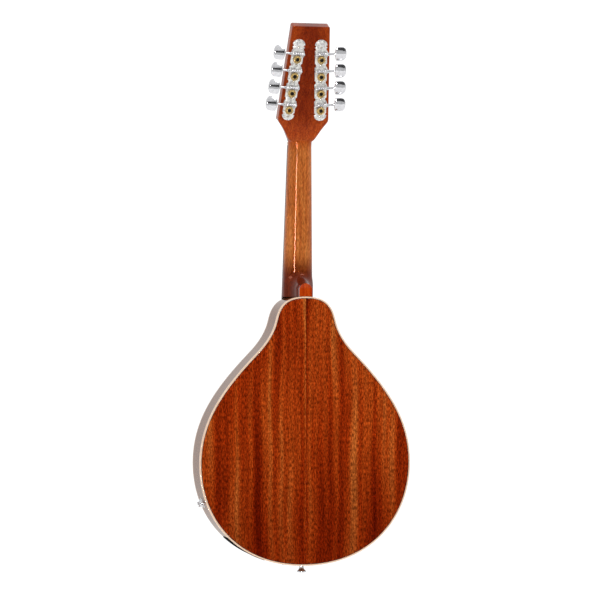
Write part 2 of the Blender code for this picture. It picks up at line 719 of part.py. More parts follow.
def lug_shape(x_from, x_to, z):
    """A bearing lug standing on the plate, with a round top."""
    half = LUG_LENGTH / 2
    top = GEAR_LEVEL + 0.0024
    points = [(-half, PLATE_FACE - 0.0004), (half, PLATE_FACE - 0.0004), (half, top - 0.003)]
    for k in range(1, 4):
        angle = math.pi * k / 4
        points.append((half * math.cos(angle), top - 0.003 + 0.0038 * math.sin(angle)))
    points.append((-half, top - 0.003))
    return loft([[(x, y, z + along) for along, y in points] for x in (x_from, x_to)])


def build_plate(side, chrome):
    right = plate_outline(PLATE_BELOW, PLATE_ABOVE)
    low_end = (0.0, -PLATE_BELOW)
    high_end = (0.0, 3 * TUNER_PITCH + PLATE_ABOVE)
    points = [low_end] + right + [high_end] + mirror_x(right)[::-1]
    name = 'tuner_plate_treble' if side > 0 else 'tuner_plate_bass'
    frame = plate_frame(side)
    plate = make_object(name, prism(points, PLATE_BACK, PLATE_FACE), chrome, frame)
    lugs = bmesh.new()
    bores = bmesh.new()
    for row in range(4):
        height = row * TUNER_PITCH + CENTRE_DISTANCE
        for x_from in (-LUG_SPAN / 2, LUG_SPAN / 2 - LUG_SHEET):
            append(lugs, lug_shape(x_from, x_from + LUG_SHEET, height))
        bore = turned([(-0.03, SHAFT_RADIUS + 2 * GAP), (0.03, SHAFT_RADIUS + 2 * GAP)], 10)
        bmesh.ops.rotate(bore, verts=bore.verts, matrix=Matrix.Rotation(math.pi / 2, 3, 'Y'))
        bmesh.ops.translate(bore, verts=bore.verts, vec=(0, GEAR_LEVEL, height))
        append(bores, bore)
        post = turned([(0.0, POST_RADIUS + 2 * GAP), (0.03, POST_RADIUS + 2 * GAP)], 10, 'Y')
        bmesh.ops.translate(post, verts=post.verts, vec=(0, 0, row * TUNER_PITCH))
        append(bores, post)
    combine(plate, make_tool(name + '_lugs', lugs, frame), 'UNION')
    combine(plate, make_tool(name + '_bores', bores, frame))


def append(target, source):
    """Moves one bmesh's faces into another."""
    bmesh.ops.recalc_face_normals(source, faces=source.faces)
    mesh = bpy.data.meshes.new('part')
    source.to_mesh(mesh)
    source.free()
    target.from_mesh(mesh)
    bpy.data.meshes.remove(mesh)


def worm_radius(angle, along):
    """Radius of the worm: a right-handed thread that faces the gear's tooth gap at angle 0."""
    phase = (along / WORM_PITCH - angle / (2 * math.pi)) % 1.0
    distance = min(phase, 1 - phase)
    crest = 0.115
    foot = 0.235
    if distance <= crest:
        return WORM_OUTER
    if distance >= foot:
        return WORM_ROOT
    return WORM_OUTER + (WORM_ROOT - WORM_OUTER) * (distance - crest) / (foot - crest)


def key_mesh(button_start):
    """Shaft, worm and button on local Z; local -X faces the gear at rest."""
    sides = 9
    reach = WORM_TURNS * WORM_PITCH / 2
    inner_end = -LUG_SPAN / 2 - 0.0006
    lug_inner = LUG_SPAN / 2 - LUG_SHEET - GAP
    profile = [(inner_end, SHAFT_RADIUS), (-lug_inner - 0.0001, SHAFT_RADIUS),
               (-lug_inner, WORM_ROOT + 0.0004), (-reach - 0.0010, WORM_ROOT + 0.0004)]
    after = [(reach + 0.0010, WORM_ROOT + 0.0004), (lug_inner, WORM_ROOT + 0.0004),
             (lug_inner + 0.0001, SHAFT_RADIUS), (LUG_SPAN / 2 + GAP, SHAFT_RADIUS),
             (LUG_SPAN / 2 + GAP + 0.0001, COLLAR_RADIUS), (LUG_SPAN / 2 + 0.0030, COLLAR_RADIUS),
             (button_start - 0.0010, SHAFT_RADIUS + 0.0004), (button_start + 0.0010, COLLAR_RADIUS + 0.0003),
             (button_start + 0.0030, COLLAR_RADIUS - 0.0010)]
    rings = []

    def ring(along, radius_at):
        row = []
        for k in range(sides):
            turn = 2 * math.pi * k / sides
            radius = radius_at(turn)
            row.append((-radius * math.cos(turn), -radius * math.sin(turn), along))
        return row

    for along, radius in profile:
        rings.append(ring(along, lambda turn, r=radius: r))
    count = WORM_TURNS * 5
    for k in range(count + 1):
        along = -reach + 2 * reach * k / count
        rings.append(ring(along, lambda turn, a=along: worm_radius(turn, a)))
    for along, radius in after:
        rings.append(ring(along, lambda turn, r=radius: r))
    return loft(rings)


def button_mesh(button_start):
    """A tapering button whose two faces slope from a ridge on the shaft's axis to thin edges."""
    half = BUTTON_HEIGHT / 2
    ridge = BUTTON_THICKNESS / 2
    edge = 0.0013
    stations = ((0.0, 0.16, 0.52), (0.10, 0.50, 0.62), (0.16, 0.93, 0.80), (0.30, 1.0, 0.92),
                (0.62, 0.97, 1.0), (0.76, 0.78, 0.97), (1.0, 0.10, 0.86))
    rings = []
    for share, height, thickness in stations:
        z = button_start + share * BUTTON_LENGTH
        h = half * height
        t = ridge * thickness
        e = min(edge, t)
        slope = max(t - (t - e) * height, e)
        flat = min(0.0010, h * 0.5)
        rings.append([(flat, t, z), (h, slope, z), (h, -slope, z), (flat, -t, z),
                      (-flat, -t, z), (-h, -slope, z), (-h, slope, z), (-flat, t, z)])
    return loft(rings)


def build_key(number, side, row, chrome):
    """One tuner key. Its frame's Z runs outwards along the shaft; -X faces the gear."""
    post_frame = plate_frame(side) @ Matrix.Translation((0, GEAR_LEVEL, row * TUNER_PITCH))
    outward = Vector((side, 0, 0))
    local_x = Vector((0, 0, 1))
    local_y = outward.cross(local_x)
    axes = Matrix((local_x, local_y, outward)).transposed().to_4x4()
    axes.translation = (0, 0, CENTRE_DISTANCE)
    frame = post_frame @ axes
    button_start = TUNER_INSET + BUTTON_FROM_SIDE
    name = 'tuner_key_%d' % number
    key = make_object(name, key_mesh(button_start), chrome, frame)
    combine(key, make_tool(name + '_button', button_mesh(button_start), frame), 'UNION')


def gear_outline(turn):
    """Tooth profile; a tooth gap faces +Z at turn 0."""
    root = GEAR_PITCH_RADIUS - GEAR_DEDENDUM
    tip = GEAR_PITCH_RADIUS + GEAR_ADDENDUM
    points = []
    for tooth in range(GEAR_TEETH):
        centre = 2 * math.pi * (tooth + 0.5) / GEAR_TEETH
        step = 2 * math.pi / GEAR_TEETH
        for offset, radius in ((-0.23, root), (-0.11, tip), (0.11, tip), (0.23, root)):
            angle = centre + offset * step + turn
            points.append((radius * math.sin(angle), radius * math.cos(angle)))
    return points


def build_post(number, side, row, brass):
    """Gear and string post in one: the post runs through the headstock to the front."""
    frame = plate_frame(side) @ Matrix.Translation((0, 0, row * TUNER_PITCH))
    lead = math.atan(WORM_PITCH / (2 * math.pi * WORM_PITCH_RADIUS))
    twist = GEAR_WIDTH / 2 * math.tan(lead) / GEAR_PITCH_RADIUS
    gear = loft([[(px, GEAR_LEVEL + y, pz) for px, pz in gear_outline(turn)]
                 for y, turn in ((-GEAR_WIDTH / 2, -twist), (GEAR_WIDTH / 2, twist))])
    name = 'string_post_%d' % number
    front = -GAP - VENEER_THICKNESS - POST_PROUD
    waist = POST_RADIUS - POST_WAIST
    profile = [(front, POST_RADIUS), (front + 0.0075, POST_RADIUS), (front + 0.0085, waist),
               (front + 0.0115, waist), (front + 0.0125, POST_RADIUS), (PLATE_FACE + GAP, POST_RADIUS),
               (PLATE_FACE + GAP + 0.0001, POST_RADIUS + 0.0012), (GEAR_LEVEL, POST_RADIUS + 0.0012)]
    post = make_object(name, gear, brass, frame)
    combine(post, make_tool(name + '_shaft', turned(profile, 10, 'Y'), frame), 'UNION')


def build_tuners(chrome, brass):
    for side in (-1, 1):
        build_plate(side, chrome)
    for number, (side, row, _, _, _) in enumerate(post_places(), start=1):
        build_key(number, side, row, chrome)
        build_post(number, side, row, brass)


# ---------------------------------------------------------------- strings, bridge and tailpiece
def string_height(u):
    """How far a string's underside lies in front of the neck's flat, at a distance u up the neck."""
    nut_height = FINGERBOARD_FACE + FRET_HEIGHT + 0.0004
    rise = (FRET_HEIGHT + STRING_ACTION - (FRET_HEIGHT + 0.0004)) / (SCALE_LENGTH / 2)
    return nut_height - rise * u


def saddle_top():
    """World Y of the saddle's top, just under the strings at the scale length."""
    point = NECK_FRAME @ Vector((0, -string_height(-SCALE_LENGTH), -SCALE_LENGTH))
    return point.y + GAP, point.z


def build_bridge(rosewood, bone):
    top_y, z = saddle_top()
    low = FRONT - GAP
    shoulder = top_y + SADDLE_HEIGHT - 0.0030
    half = BRIDGE_LENGTH / 2
    foot = 0.034
    crown = BRIDGE_SPREAD / 2 + 0.010
    arch = low - 0.0045
    side = [(-half, low), (-half, low - 0.004), (-crown - 0.012, low - 0.007), (-crown, shoulder),
            (crown, shoulder), (crown + 0.012, low - 0.007), (half, low - 0.004), (half, low),
            (half - foot, low), (half - foot - 0.006, arch), (-half + foot + 0.006, arch),
            (-half + foot, low)]
    rings = [[(x, y, z + s * BRIDGE_WIDTH / 2) for x, y in side] for s in (-1, 1)]
    bridge = make_object('bridge', loft(rings), rosewood)
    slot_half = crown - 0.004
    slot = box((-slot_half, slot_half), (shoulder - 0.01, shoulder + 0.0030),
               (z - SADDLE_WIDTH / 2, z + SADDLE_WIDTH / 2))
    combine(bridge, make_tool('saddle_slot_cutter', slot))
    saddle = box((-slot_half + GAP, slot_half - GAP), (top_y, shoulder + 0.0030 - GAP),
                 (z - SADDLE_WIDTH / 2 + GAP, z + SADDLE_WIDTH / 2 - GAP))
    make_object('bridge_saddle', saddle, bone)


def tailpiece_profile():
    """The tailpiece's sheet in Y and Z: over the soundboard, round the tail and down the rim."""
    sheet = TAILPIECE_SHEET
    over = FRONT - 0.0040
    tail = BODY_BOTTOM - GAP
    outer = [(over - 0.007, BODY_BOTTOM + TAILPIECE_LENGTH), (over - sheet, BODY_BOTTOM + 0.020),
             (over - sheet, tail + 0.004), (over + 0.003, tail - sheet), (FRONT + 0.020, tail - sheet)]
    inner = [(over - 0.007 + sheet, BODY_BOTTOM + TAILPIECE_LENGTH), (over, BODY_BOTTOM + 0.020),
             (over, tail + 0.005), (over + 0.004, tail), (FRONT + 0.020, tail)]
    return outer + inner[::-1]


def build_tailpiece(chrome):
    profile = tailpiece_profile()
    half = TAILPIECE_HALF_WIDTH
    rings = [[(x, y, z) for y, z in profile] for x in (-half, half)]
    make_object('tailpiece', loft(rings), chrome)


def build_strings(steel):
    top_y, saddle_z = saddle_top()
    places = string_places()
    posts = list(post_places())
    tail_z = BODY_BOTTOM + TAILPIECE_LENGTH + 0.0010
    for number, ((nut_x, bridge_x), radius) in enumerate(zip(places, STRING_RADII), start=1):
        slot = number - 1
        post_index = slot if slot < 4 else 11 - slot
        side, row, post_x, post_z, _ = posts[post_index]
        post_top = -GAP - VENEER_THICKNESS - POST_PROUD + 0.010
        lane = -side * (POST_RADIUS - POST_WAIST + radius + GAP)
        end = HEAD_FRAME @ Vector((post_x + lane, post_top, post_z))
        nut_y = -(FINGERBOARD_FACE + FRET_HEIGHT + 0.0004) - radius
        nut_front = NECK_FRAME @ Vector((nut_x, nut_y, -0.0005))
        nut_back = NECK_FRAME @ Vector((nut_x, nut_y + 0.0001, NUT_THICKNESS + 0.0008))
        saddle = Vector((bridge_x, top_y - GAP - radius, saddle_z))
        tail = Vector((bridge_x, FRONT - 0.0125 - radius, tail_z))
        curve = bpy.data.curves.new('string_%d' % number, 'CURVE')
        curve.dimensions = '3D'
        curve.bevel_depth = radius
        curve.bevel_resolution = 1
        curve.use_fill_caps = True
        line = curve.splines.new('POLY')
        points = [tail, saddle, nut_front, nut_back, end]
        line.points.add(len(points) - 1)
        for place, point in zip(line.points, points):
            place.co = (*point, 1.0)
        make_object('string_%d' % number, curve, steel)


# ---------------------------------------------------------------- strap button, jack, battery box
def build_strap_button(chrome, tail_block):
    radius = STRAP_BUTTON_RADIUS
    length = STRAP_BUTTON_LENGTH
    profile = [(-length, radius - 0.0006), (-length + 0.0006, radius), (-length + 0.0018, radius),
               (-length + 0.0045, radius * 0.62), (-0.0020, radius * 0.50), (-GAP, radius * 0.52),
               (-GAP + 0.00005, 0.0022), (0.018, 0.0022), (0.020, 0.0008)]
    frame = Matrix.Translation((0, MID_DEPTH, BODY_BOTTOM))
    make_object('strap_button', turned(profile, 16), chrome, frame)
    bore = make_tool('strap_screw_cutter', turned([(-0.02, 0.0022 + GAP), (0.022, 0.0022 + GAP)], 10), frame)
    combine(tail_block, bore)
    for name in ('rim_bass', 'rim_treble'):
        combine(bpy.data.objects[name], bore)


def build_jack(chrome, rim):
    frame = rim_frame(JACK_FROM_BOTTOM, MID_DEPTH)
    radius = JACK_RADIUS
    washer = radius * 1.9
    nut = radius * 1.55
    profile = [(-JACK_BODY_LENGTH, radius), (GAP - 0.0001, radius), (GAP, washer), (0.0012, washer),
               (0.0013, nut), (0.0042, nut), (0.0045, radius), (JACK_PROUD, radius)]
    jack = make_object('output_jack', turned(profile, 16), chrome, frame)
    socket = make_tool('jack_socket_cutter', turned([(-0.018, 0.0032), (0.05, 0.0032)], 10), frame)
    combine(jack, socket)
    hole = make_tool('jack_hole_cutter', turned([(-0.05, radius + GAP), (0.05, radius + GAP)], 16), frame)
    combine(rim, hole)


def box_frame():
    """Frame at the middle of the battery box: local X along the rim to the tail, local Z outwards."""
    ends = outline_stretch(BOX_FROM_BOTTOM, 0.0, BOX_LENGTH, 0.0, 2)
    along = Vector((ends[2][0] - ends[0][0], 0, ends[2][1] - ends[0][1])).normalized()
    outward = Vector((-along.z, 0, along.x))
    if outward.x < 0:
        outward = -outward
    across = outward.cross(along)
    frame = Matrix((along, across, outward)).transposed().to_4x4()
    frame.translation = (ends[1][0], MID_DEPTH, ends[1][1])
    return frame


def rim_patch(start, length, width, out, inwards):
    """A curved panel on the rim at the battery box, from out in front of the wood to inwards of it."""
    outer = outline_stretch(BOX_FROM_BOTTOM, start, length, -out, 12)
    inner = outline_stretch(BOX_FROM_BOTTOM, start, length, inwards, 12)
    return band(outer, inner, MID_DEPTH - width / 2, MID_DEPTH + width / 2, False)


def build_battery_box(black, rim, label):
    """Holder with a flange on the rim, the battery in it, and a door that turns on two pins."""
    frame = box_frame()
    holder = make_object('battery_box', rim_patch(0.0, BOX_LENGTH, BOX_WIDTH, BOX_PROUD, -GAP), black)
    tray_x = BOX_LENGTH / 2 - BOX_FRAME
    tray_y = BOX_WIDTH / 2 - BOX_FRAME
    lid = outline_stretch(BOX_FROM_BOTTOM, BOX_FRAME, 2 * tray_x, -(BOX_PROUD + GAP) / 2, 12)
    floor = [frame @ Vector((x, 0, -BOX_DEPTH)) for x in (tray_x, -tray_x)]
    tray = prism(lid + [(corner.x, corner.z) for corner in floor], MID_DEPTH - tray_y, MID_DEPTH + tray_y)
    combine(holder, make_tool('tray_shape', tray), 'UNION')
    mouth_x = tray_x - BOX_WALL
    mouth_y = tray_y - BOX_WALL
    mouth = box((-mouth_x, mouth_x), (-mouth_y, mouth_y), (-BOX_DEPTH + BOX_WALL, 0.02))
    combine(holder, make_tool('tray_mouth_cutter', mouth, frame))
    opening = box((-tray_x - GAP, tray_x + GAP), (-tray_y - GAP, tray_y + GAP), (-0.03, 0.03))
    opening_cutter = make_tool('box_opening_cutter', opening, frame)
    for around in (rim, bpy.data.objects['top_lining_treble'], bpy.data.objects['back_lining_treble']):
        combine(around, opening_cutter)

    door_length = 2 * (mouth_x - DOOR_PLAY)
    door_start = (BOX_LENGTH - door_length) / 2
    door_half = mouth_y - DOOR_PLAY
    door = make_object('battery_door', rim_patch(door_start, door_length, 2 * door_half, BOX_PROUD,
                                                 DOOR_THICKNESS - BOX_PROUD), black)
    hinge = hinge_frame(door_start)
    reach = HINGE_PIN_RADIUS + DOOR_THICKNESS / 2
    boss = box((-reach, reach), (-door_half, door_half), (-HINGE_PIN_RADIUS, HINGE_DEPTH - 0.0006))
    combine(door, make_tool('door_boss', boss, hinge), 'UNION')
    pin_end = tray_y - GAP
    pins = turned([(-pin_end, HINGE_PIN_RADIUS), (pin_end, HINGE_PIN_RADIUS)], 10, 'Y')
    combine(door, make_tool('door_pins', pins, hinge), 'UNION')
    bore_radius = HINGE_PIN_RADIUS + GAP
    bores = turned([(-tray_y - GAP, bore_radius), (tray_y + GAP, bore_radius)], 10, 'Y')
    combine(holder, make_tool('hinge_bore_cutter', bores, hinge))

    length, width, height = BATTERY_SIZE
    rest = -BOX_DEPTH + BOX_WALL + GAP
    battery = box((-length / 2, length / 2), (-width / 2, width / 2), (rest, rest + height))
    make_object('battery', battery, label, frame)


def hinge_frame(door_start):
    """Frame of the door's hinge: local Y along the pins, local X along the door, local Z outwards."""
    inset = HINGE_DEPTH - BOX_PROUD
    start, here = outline_stretch(BOX_FROM_BOTTOM, door_start, HINGE_IN_FROM_END, inset, 1)
    along = Vector((here[0] - start[0], 0, here[1] - start[1])).normalized()
    across = Vector((0, 1, 0))
    frame = Matrix((along, across, along.cross(across))).transposed().to_4x4()
    frame.translation = (here[0], MID_DEPTH, here[1])
    return frame


def build_pickup(brass):
    """A contact pickup under the soundboard, behind the bridge."""
    start = INSIDE_FRONT + GAP
    disc = turned([(start, PICKUP_RADIUS), (start + PICKUP_THICKNESS, PICKUP_RADIUS)], 20, 'Y')
    make_object('pickup_disc', disc, brass, Matrix.Translation((0, 0, -SCALE_LENGTH)))


# ---------------------------------------------------------------- everything
def build():
    for piece in list(bpy.data.objects):
        bpy.data.objects.remove(piece, do_unlink=True)
    mahogany = make_material('mahogany', (0.22, 0.055, 0.018), 0.2)
    spruce = make_material('spruce', (0.62, 0.40, 0.17), 0.3)
    light_wood = make_material('lining_wood', (0.55, 0.36, 0.18), 0.6)
    rosewood = make_material('rosewood', (0.06, 0.025, 0.015), 0.4)
    cream = make_material('cream_binding', (0.85, 0.66, 0.47), 0.25)
    bone = make_material('bone', (0.80, 0.74, 0.60), 0.35)
    chrome = make_material('chrome', (0.75, 0.76, 0.78), 0.12, 1.0)
    brass = make_material('brass', (0.62, 0.44, 0.18), 0.3, 1.0)
    steel = make_material('string_steel', (0.55, 0.56, 0.58), 0.3, 1.0)
    black = make_material('black_plastic', (0.01, 0.01, 0.01), 0.35)
    label = make_material('battery_case', (0.05, 0.06, 0.09), 0.4)

    build_plates(spruce, mahogany)
    build_bindings(cream)
    treble_rim = build_rims(mahogany)
    tail_block = build_blocks(mahogany)
    build_linings(light_wood)
    build_braces(spruce)
    build_neck(mahogany)
    build_truss_rod(steel)
    build_fingerboard(rosewood)
    build_nut(bone)
    build_veneer(rosewood, black)
    build_tuners(chrome, brass)
    build_bridge(rosewood, bone)
    build_tailpiece(chrome)
    build_strings(steel)
    build_strap_button(chrome, tail_block)
    build_jack(chrome, treble_rim)
    build_battery_box(black, treble_rim, label)
    build_pickup(brass)


build()
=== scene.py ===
import json
import math
from functools import partial

import bmesh
import bpy
from mathutils import Matrix, Vector, geometry


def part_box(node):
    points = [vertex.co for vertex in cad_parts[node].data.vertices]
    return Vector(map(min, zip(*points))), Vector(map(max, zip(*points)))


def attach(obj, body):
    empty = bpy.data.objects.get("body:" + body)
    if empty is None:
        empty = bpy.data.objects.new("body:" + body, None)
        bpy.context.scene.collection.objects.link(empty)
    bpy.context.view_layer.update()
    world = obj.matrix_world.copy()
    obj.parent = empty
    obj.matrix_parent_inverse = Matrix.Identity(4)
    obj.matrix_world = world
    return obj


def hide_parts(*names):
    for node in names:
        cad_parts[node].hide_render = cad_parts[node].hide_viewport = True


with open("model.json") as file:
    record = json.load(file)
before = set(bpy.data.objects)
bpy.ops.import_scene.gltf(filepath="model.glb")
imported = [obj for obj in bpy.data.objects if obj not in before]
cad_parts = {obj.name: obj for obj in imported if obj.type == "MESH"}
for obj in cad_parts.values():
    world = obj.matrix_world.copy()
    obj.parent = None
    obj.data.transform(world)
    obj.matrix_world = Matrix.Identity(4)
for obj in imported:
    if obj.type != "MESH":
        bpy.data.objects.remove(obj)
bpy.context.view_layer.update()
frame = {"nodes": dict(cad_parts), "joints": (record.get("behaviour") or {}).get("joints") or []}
mm = 0.001
root = "instrument"
joints = {joint["name"]: joint for joint in frame["joints"]}


def srgb(text):
    values = [int(text[i:i + 2], 16) / 255 for i in (1, 3, 5)]
    return [v / 12.92 if v <= 0.04045 else ((v + 0.055) / 1.055) ** 2.4 for v in values] + [1.0]


def addNode(tree, kind, inputs=(), stops=None, to=None, **settings):
    # inputs stand in the sockets' order, or have a socket's name or number
    node = tree.nodes.new("ShaderNode" + kind)
    for key, value in settings.items():
        setattr(node, key, value)
    for key, value in (inputs if isinstance(inputs, dict) else dict(enumerate(inputs))).items():
        if isinstance(value, bpy.types.NodeSocket):
            tree.links.new(value, node.inputs[key])
        else:
            node.inputs[key].default_value = value
    if stops:                                   # stops of a colour ramp
        elements = node.color_ramp.elements
        while len(elements) < len(stops):
            elements.new(0.5)
        for element, (spot, colour) in zip(elements, stops):
            element.position = spot
            element.color = srgb(colour)
    if to:
        tree.links.new(node.outputs[0], to)
    return node.outputs[0]


def newMaterial(name, settings):
    material = bpy.data.materials.new(name)
    material.use_nodes = True
    shader = material.node_tree.nodes["Principled BSDF"].inputs
    for key, value in settings.items():
        shader[key].default_value = srgb(value) if isinstance(value, str) else value
    add = partial(addNode, material.node_tree)
    return material, add, shader, add("TexCoord").node.outputs["Object"]


def patches(add, where, size, detail, rough=0.5, shift=(0, 0, 0), **more):
    # cloudy pattern, its patches of a real size in x, y and z
    laid = add("Mapping", {"Vector": where, "Location": shift, "Scale": tuple(1 / s for s in size)})
    return add("TexNoise", {"Vector": laid, "Scale": 1.0, "Detail": detail, "Roughness": rough, **more})


def overlay(add, shader, amount, base, marks, stops, to=None):
    # darkens a colour by a ramp over the marks, which also stand slightly in relief
    shade = add("ValToRGB", (marks,), stops)
    add("Bump", {"Height": marks, "Strength": 0.015, "Distance": 0.1 * mm}, to=shader["Normal"])
    return add("MixRGB", (amount, base, shade), blend_type="MULTIPLY", to=to)


# high gloss over stained wood: its mirror takes the wood's colour face on and turns white at a slant
lacquer = {"Roughness": 0.07, "Specular IOR Level": 0.5, "Specular Tint": "#c8622a", "Coat Weight": 0.3,
           "Coat Roughness": 0.04}

# sizes as x, y, z
backGrain = {"ribbon": (19 * mm, 1, 520 * mm), "streak": (3.0 * mm, 1, 75 * mm),
             "fleck": (1.5 * mm, 1, 6.0 * mm), "sway": 30 * mm, "bends": 3.4, "contrast": 1.3,
             "atSeam": 0.19, "seamBand": 18 * mm}


def makeBackWood():
    # ribbon-striped mahogany, bookmatched and lacquered: broad stripes, fine streaks and short flecks
    material, add, shader, coords = newMaterial("lacqueredRibbonMahogany", lacquer)
    g = backGrain
    x, y, z = add("SeparateXYZ", (coords,)).node.outputs
    fromSeam = add("Math", (x,), operation="ABSOLUTE")
    side = add("Math", (x,), operation="SIGN")
    drift = add("Math", (z, g["bends"]), operation="MULTIPLY")
    bend = add("TexNoise", {"W": drift, "Scale": 1.0, "Detail": 1.0}, noise_dimensions="1D")
    swayed = add("Math", (bend, g["sway"], fromSeam), operation="MULTIPLY_ADD")
    across = add("CombineXYZ", {0: swayed, 2: z})
    apart = add("CombineXYZ", {0: add("Math", (swayed, side), operation="MULTIPLY"), 2: z})
    broad = patches(add, across, g["ribbon"], 1.5, 0.55, (3.7, 3.7, 0))
    narrow = patches(add, apart, g["streak"], 2.0, 0.55, (9.1, 9.1, 0))
    # the two halves lean opposite ways, so what is light on one is dark on the other
    centred = add("Math", (broad, 0.5), operation="SUBTRACT")
    flipped = add("Math", (centred, side), operation="MULTIPLY")
    ribbon = add("Math", (flipped, g["contrast"], 0.5), operation="MULTIPLY_ADD")
    close = add("MapRange", (fromSeam, 0.0, g["seamBand"], g["atSeam"], 0.0))
    ribbon = add("Math", (close, side, ribbon), operation="MULTIPLY_ADD")
    base = add("ValToRGB", (ribbon,), [(0.24, "#9a2806"), (0.43, "#c8420f"), (0.58, "#e6601e"),
                                       (0.76, "#fa8a3c")])
    fine = add("ValToRGB", (narrow,), [(0.30, "#a09894"), (0.5, "#d0ccc8"), (0.72, "#ffffff")])
    mixed = add("MixRGB", (0.6, base, fine), blend_type="MULTIPLY")
    flecked = overlay(add, shader, 0.85, mixed, patches(add, coords, g["fleck"], 2.5, 0.65),
                      [(0.38, "#5c4a42"), (0.50, "#b8aea6"), (0.62, "#ffffff")])
    # the wood is a little darker towards the tail
    tailward = add("MapRange", (z, -430 * mm, -670 * mm, 0.0, 1.0), interpolation_type="SMOOTHSTEP")
    add("MixRGB", (tailward, flecked, srgb("#d2beb8")), blend_type="MULTIPLY", to=shader["Base Color"])
    return material


def makeWood(name, colours, streak, pore, settings=lacquer, amount=0.6):
    # straight-grained wood: long streaks of tone, and short pores along them
    material, add, shader, coords = newMaterial(name, settings)
    tone = patches(add, coords, streak, 3.0, 0.6, Distortion=0.15)
    base = add("ValToRGB", (tone,), list(zip((0.28, 0.5, 0.74), colours)))
    overlay(add, shader, amount, base, patches(add, coords, pore, 2.0),
            [(0.32, "#7a6c64"), (0.5, "#d0cbc6"), (0.66, "#ffffff")], shader["Base Color"])
    return material


def makeNeckWood():
    # mahogany, darker down the middle of the headstock; past the nut redder, and darker as painted shade
    # where the headstock leans away from the light; darker towards the heel as painted shade where the neck
    # meets the body
    material, add, shader, coords = newMaterial("lacqueredNeckMahogany", {**lacquer, "Coat Weight": 0.16})
    tone = patches(add, coords, (5 * mm, 6 * mm, 110 * mm), 3.0, 0.6)
    base = add("ValToRGB", (tone,), [(0.28, "#b05626"), (0.5, "#cd7234"), (0.74, "#e28c48")])
    colour = overlay(add, shader, 0.6, base, patches(add, coords, (1.3 * mm, 1.3 * mm, 6 * mm), 2.0),
                     [(0.36, "#84746a"), (0.5, "#d0cbc6"), (0.62, "#ffffff")])
    x, y, z = add("SeparateXYZ", (coords,)).node.outputs
    fromMiddle = add("Math", (x,), operation="ABSOLUTE")
    middle, headward, pastNutRedAndShade, heelShade = [
        add("MapRange", (way, near * mm, far * mm, start, end), interpolation_type="SMOOTHSTEP")
        for way, near, far, start, end in ((fromMiddle, 2, 34, 1.0, 0.35), (z, -12, 60, 0.0, 1.0),
                                           (z, -14, 16, 0.0, 1.0), (z, -172, -218, 0.0, 1.0))]
    onHead = add("Math", (middle, headward), operation="MULTIPLY")
    # painted shade: past the nut for the headstock leaning away from the light, and towards the heel where
    # the neck meets the body
    for amount, tintAndShade in ((pastNutRedAndShade, "#eeb282"), (onHead, "#b4908c"), (heelShade, "#8e5c52")):
        colour = add("MixRGB", (amount, colour, srgb(tintAndShade)), blend_type="MULTIPLY", to=shader["Base Color"])
    return material


def makeSpruce():
    # quarter-sawn spruce under amber lacquer: dark late-wood lines about 1.3 mm apart
    material, add, shader, coords = newMaterial("amberLacqueredSpruce", lacquer)
    laid = add("Mapping", {"Vector": coords, "Scale": (1, 1, 0.03)})
    rings = add("TexWave", {"Vector": laid, "Scale": 240.0, "Distortion": 2.4, "Detail": 1.0,
                            "Detail Scale": 0.6}, wave_type="BANDS", bands_direction="X", wave_profile="SAW")
    lines = add("ValToRGB", (rings,), [(0.0, "#dcae6c"), (0.72, "#d3a15c"), (0.93, "#b57f3c"),
                                       (1.0, "#d9a964")])
    drift = patches(add, coords, (1 / 60, 1 / 60, 1 / 4), 3.0)
    tone = add("ValToRGB", (drift,), [(0.3, "#d8cfc4"), (0.7, "#ffffff")])
    add("MixRGB", (0.8, lines, tone), blend_type="MULTIPLY", to=shader["Base Color"])
    add("Bump", {"Height": rings, "Strength": 0.03, "Distance": 0.1 * mm}, to=shader["Normal"])
    return material


def makePlain(name, colours, settings, grain, swing=0.25, depth=0.05):
    # a cast, rolled or moulded surface: even colour with slight marks of a real size
    material, add, shader, coords = newMaterial(name, settings)
    marks = patches(add, coords, (grain, grain, grain), 3.0, 0.6)
    add("ValToRGB", (marks,), list(zip((0.35, 0.65), colours)), to=shader["Base Color"])
    low = settings["Roughness"]
    add("MapRange", (marks, 0.3, 0.7, low * (1 - swing), low * (1 + swing)), to=shader["Roughness"])
    add("Bump", {"Height": marks, "Strength": depth, "Distance": 0.1 * mm}, to=shader["Normal"])
    return material


def makeRope():
    # rope inlay round the soundhole: light and dark wood laid at an even slant
    material, add, shader, coords = newMaterial("ropeInlay", lacquer)
    x, y, z = add("SeparateXYZ", (coords,)).node.outputs
    up = add("Math", (z, soundholeZ), operation="SUBTRACT")
    angle = add("Math", (x, up), operation="ARCTAN2")
    upSquare = add("Math", (up, up), operation="MULTIPLY")
    square = add("Math", (x, x, upSquare), operation="MULTIPLY_ADD")
    radius = add("Math", (square,), operation="SQRT")
    turns = add("Math", (angle, rosette["ropes"]), operation="MULTIPLY")
    slant = add("Math", (radius, rosette["slant"], turns), operation="MULTIPLY_ADD")
    tone = add("Math", (add("Math", (slant,), operation="SINE"), 0.5, 0.5), operation="MULTIPLY_ADD")
    add("ValToRGB", (tone,), [(0.35, "#1d120b"), (0.45, "#5b3216"), (0.55, "#c89a5c"), (0.65, "#e8d0a0")],
        to=shader["Base Color"])
    return material


def makeWound(name, colours, pitch):
    # wire wound round a core: fine rings across the string, drawn coarser than real so they show, with
    # painted shade darkening the grooves between the turns
    material, add, shader, coords = newMaterial(name, {"Metallic": 1.0, "Roughness": 0.32})
    waves = add("TexWave", {"Vector": coords, "Scale": 1 / pitch / 3.2, "Distortion": 0.0},
                wave_type="BANDS", bands_direction="Z")
    # painted shade: the low part of each ring is coloured darker
    add("ValToRGB", (waves,), list(zip((0.2, 0.8), colours)), to=shader["Base Color"])
    add("Bump", {"Height": waves, "Strength": 0.4, "Distance": 0.1 * mm}, to=shader["Normal"])
    return material


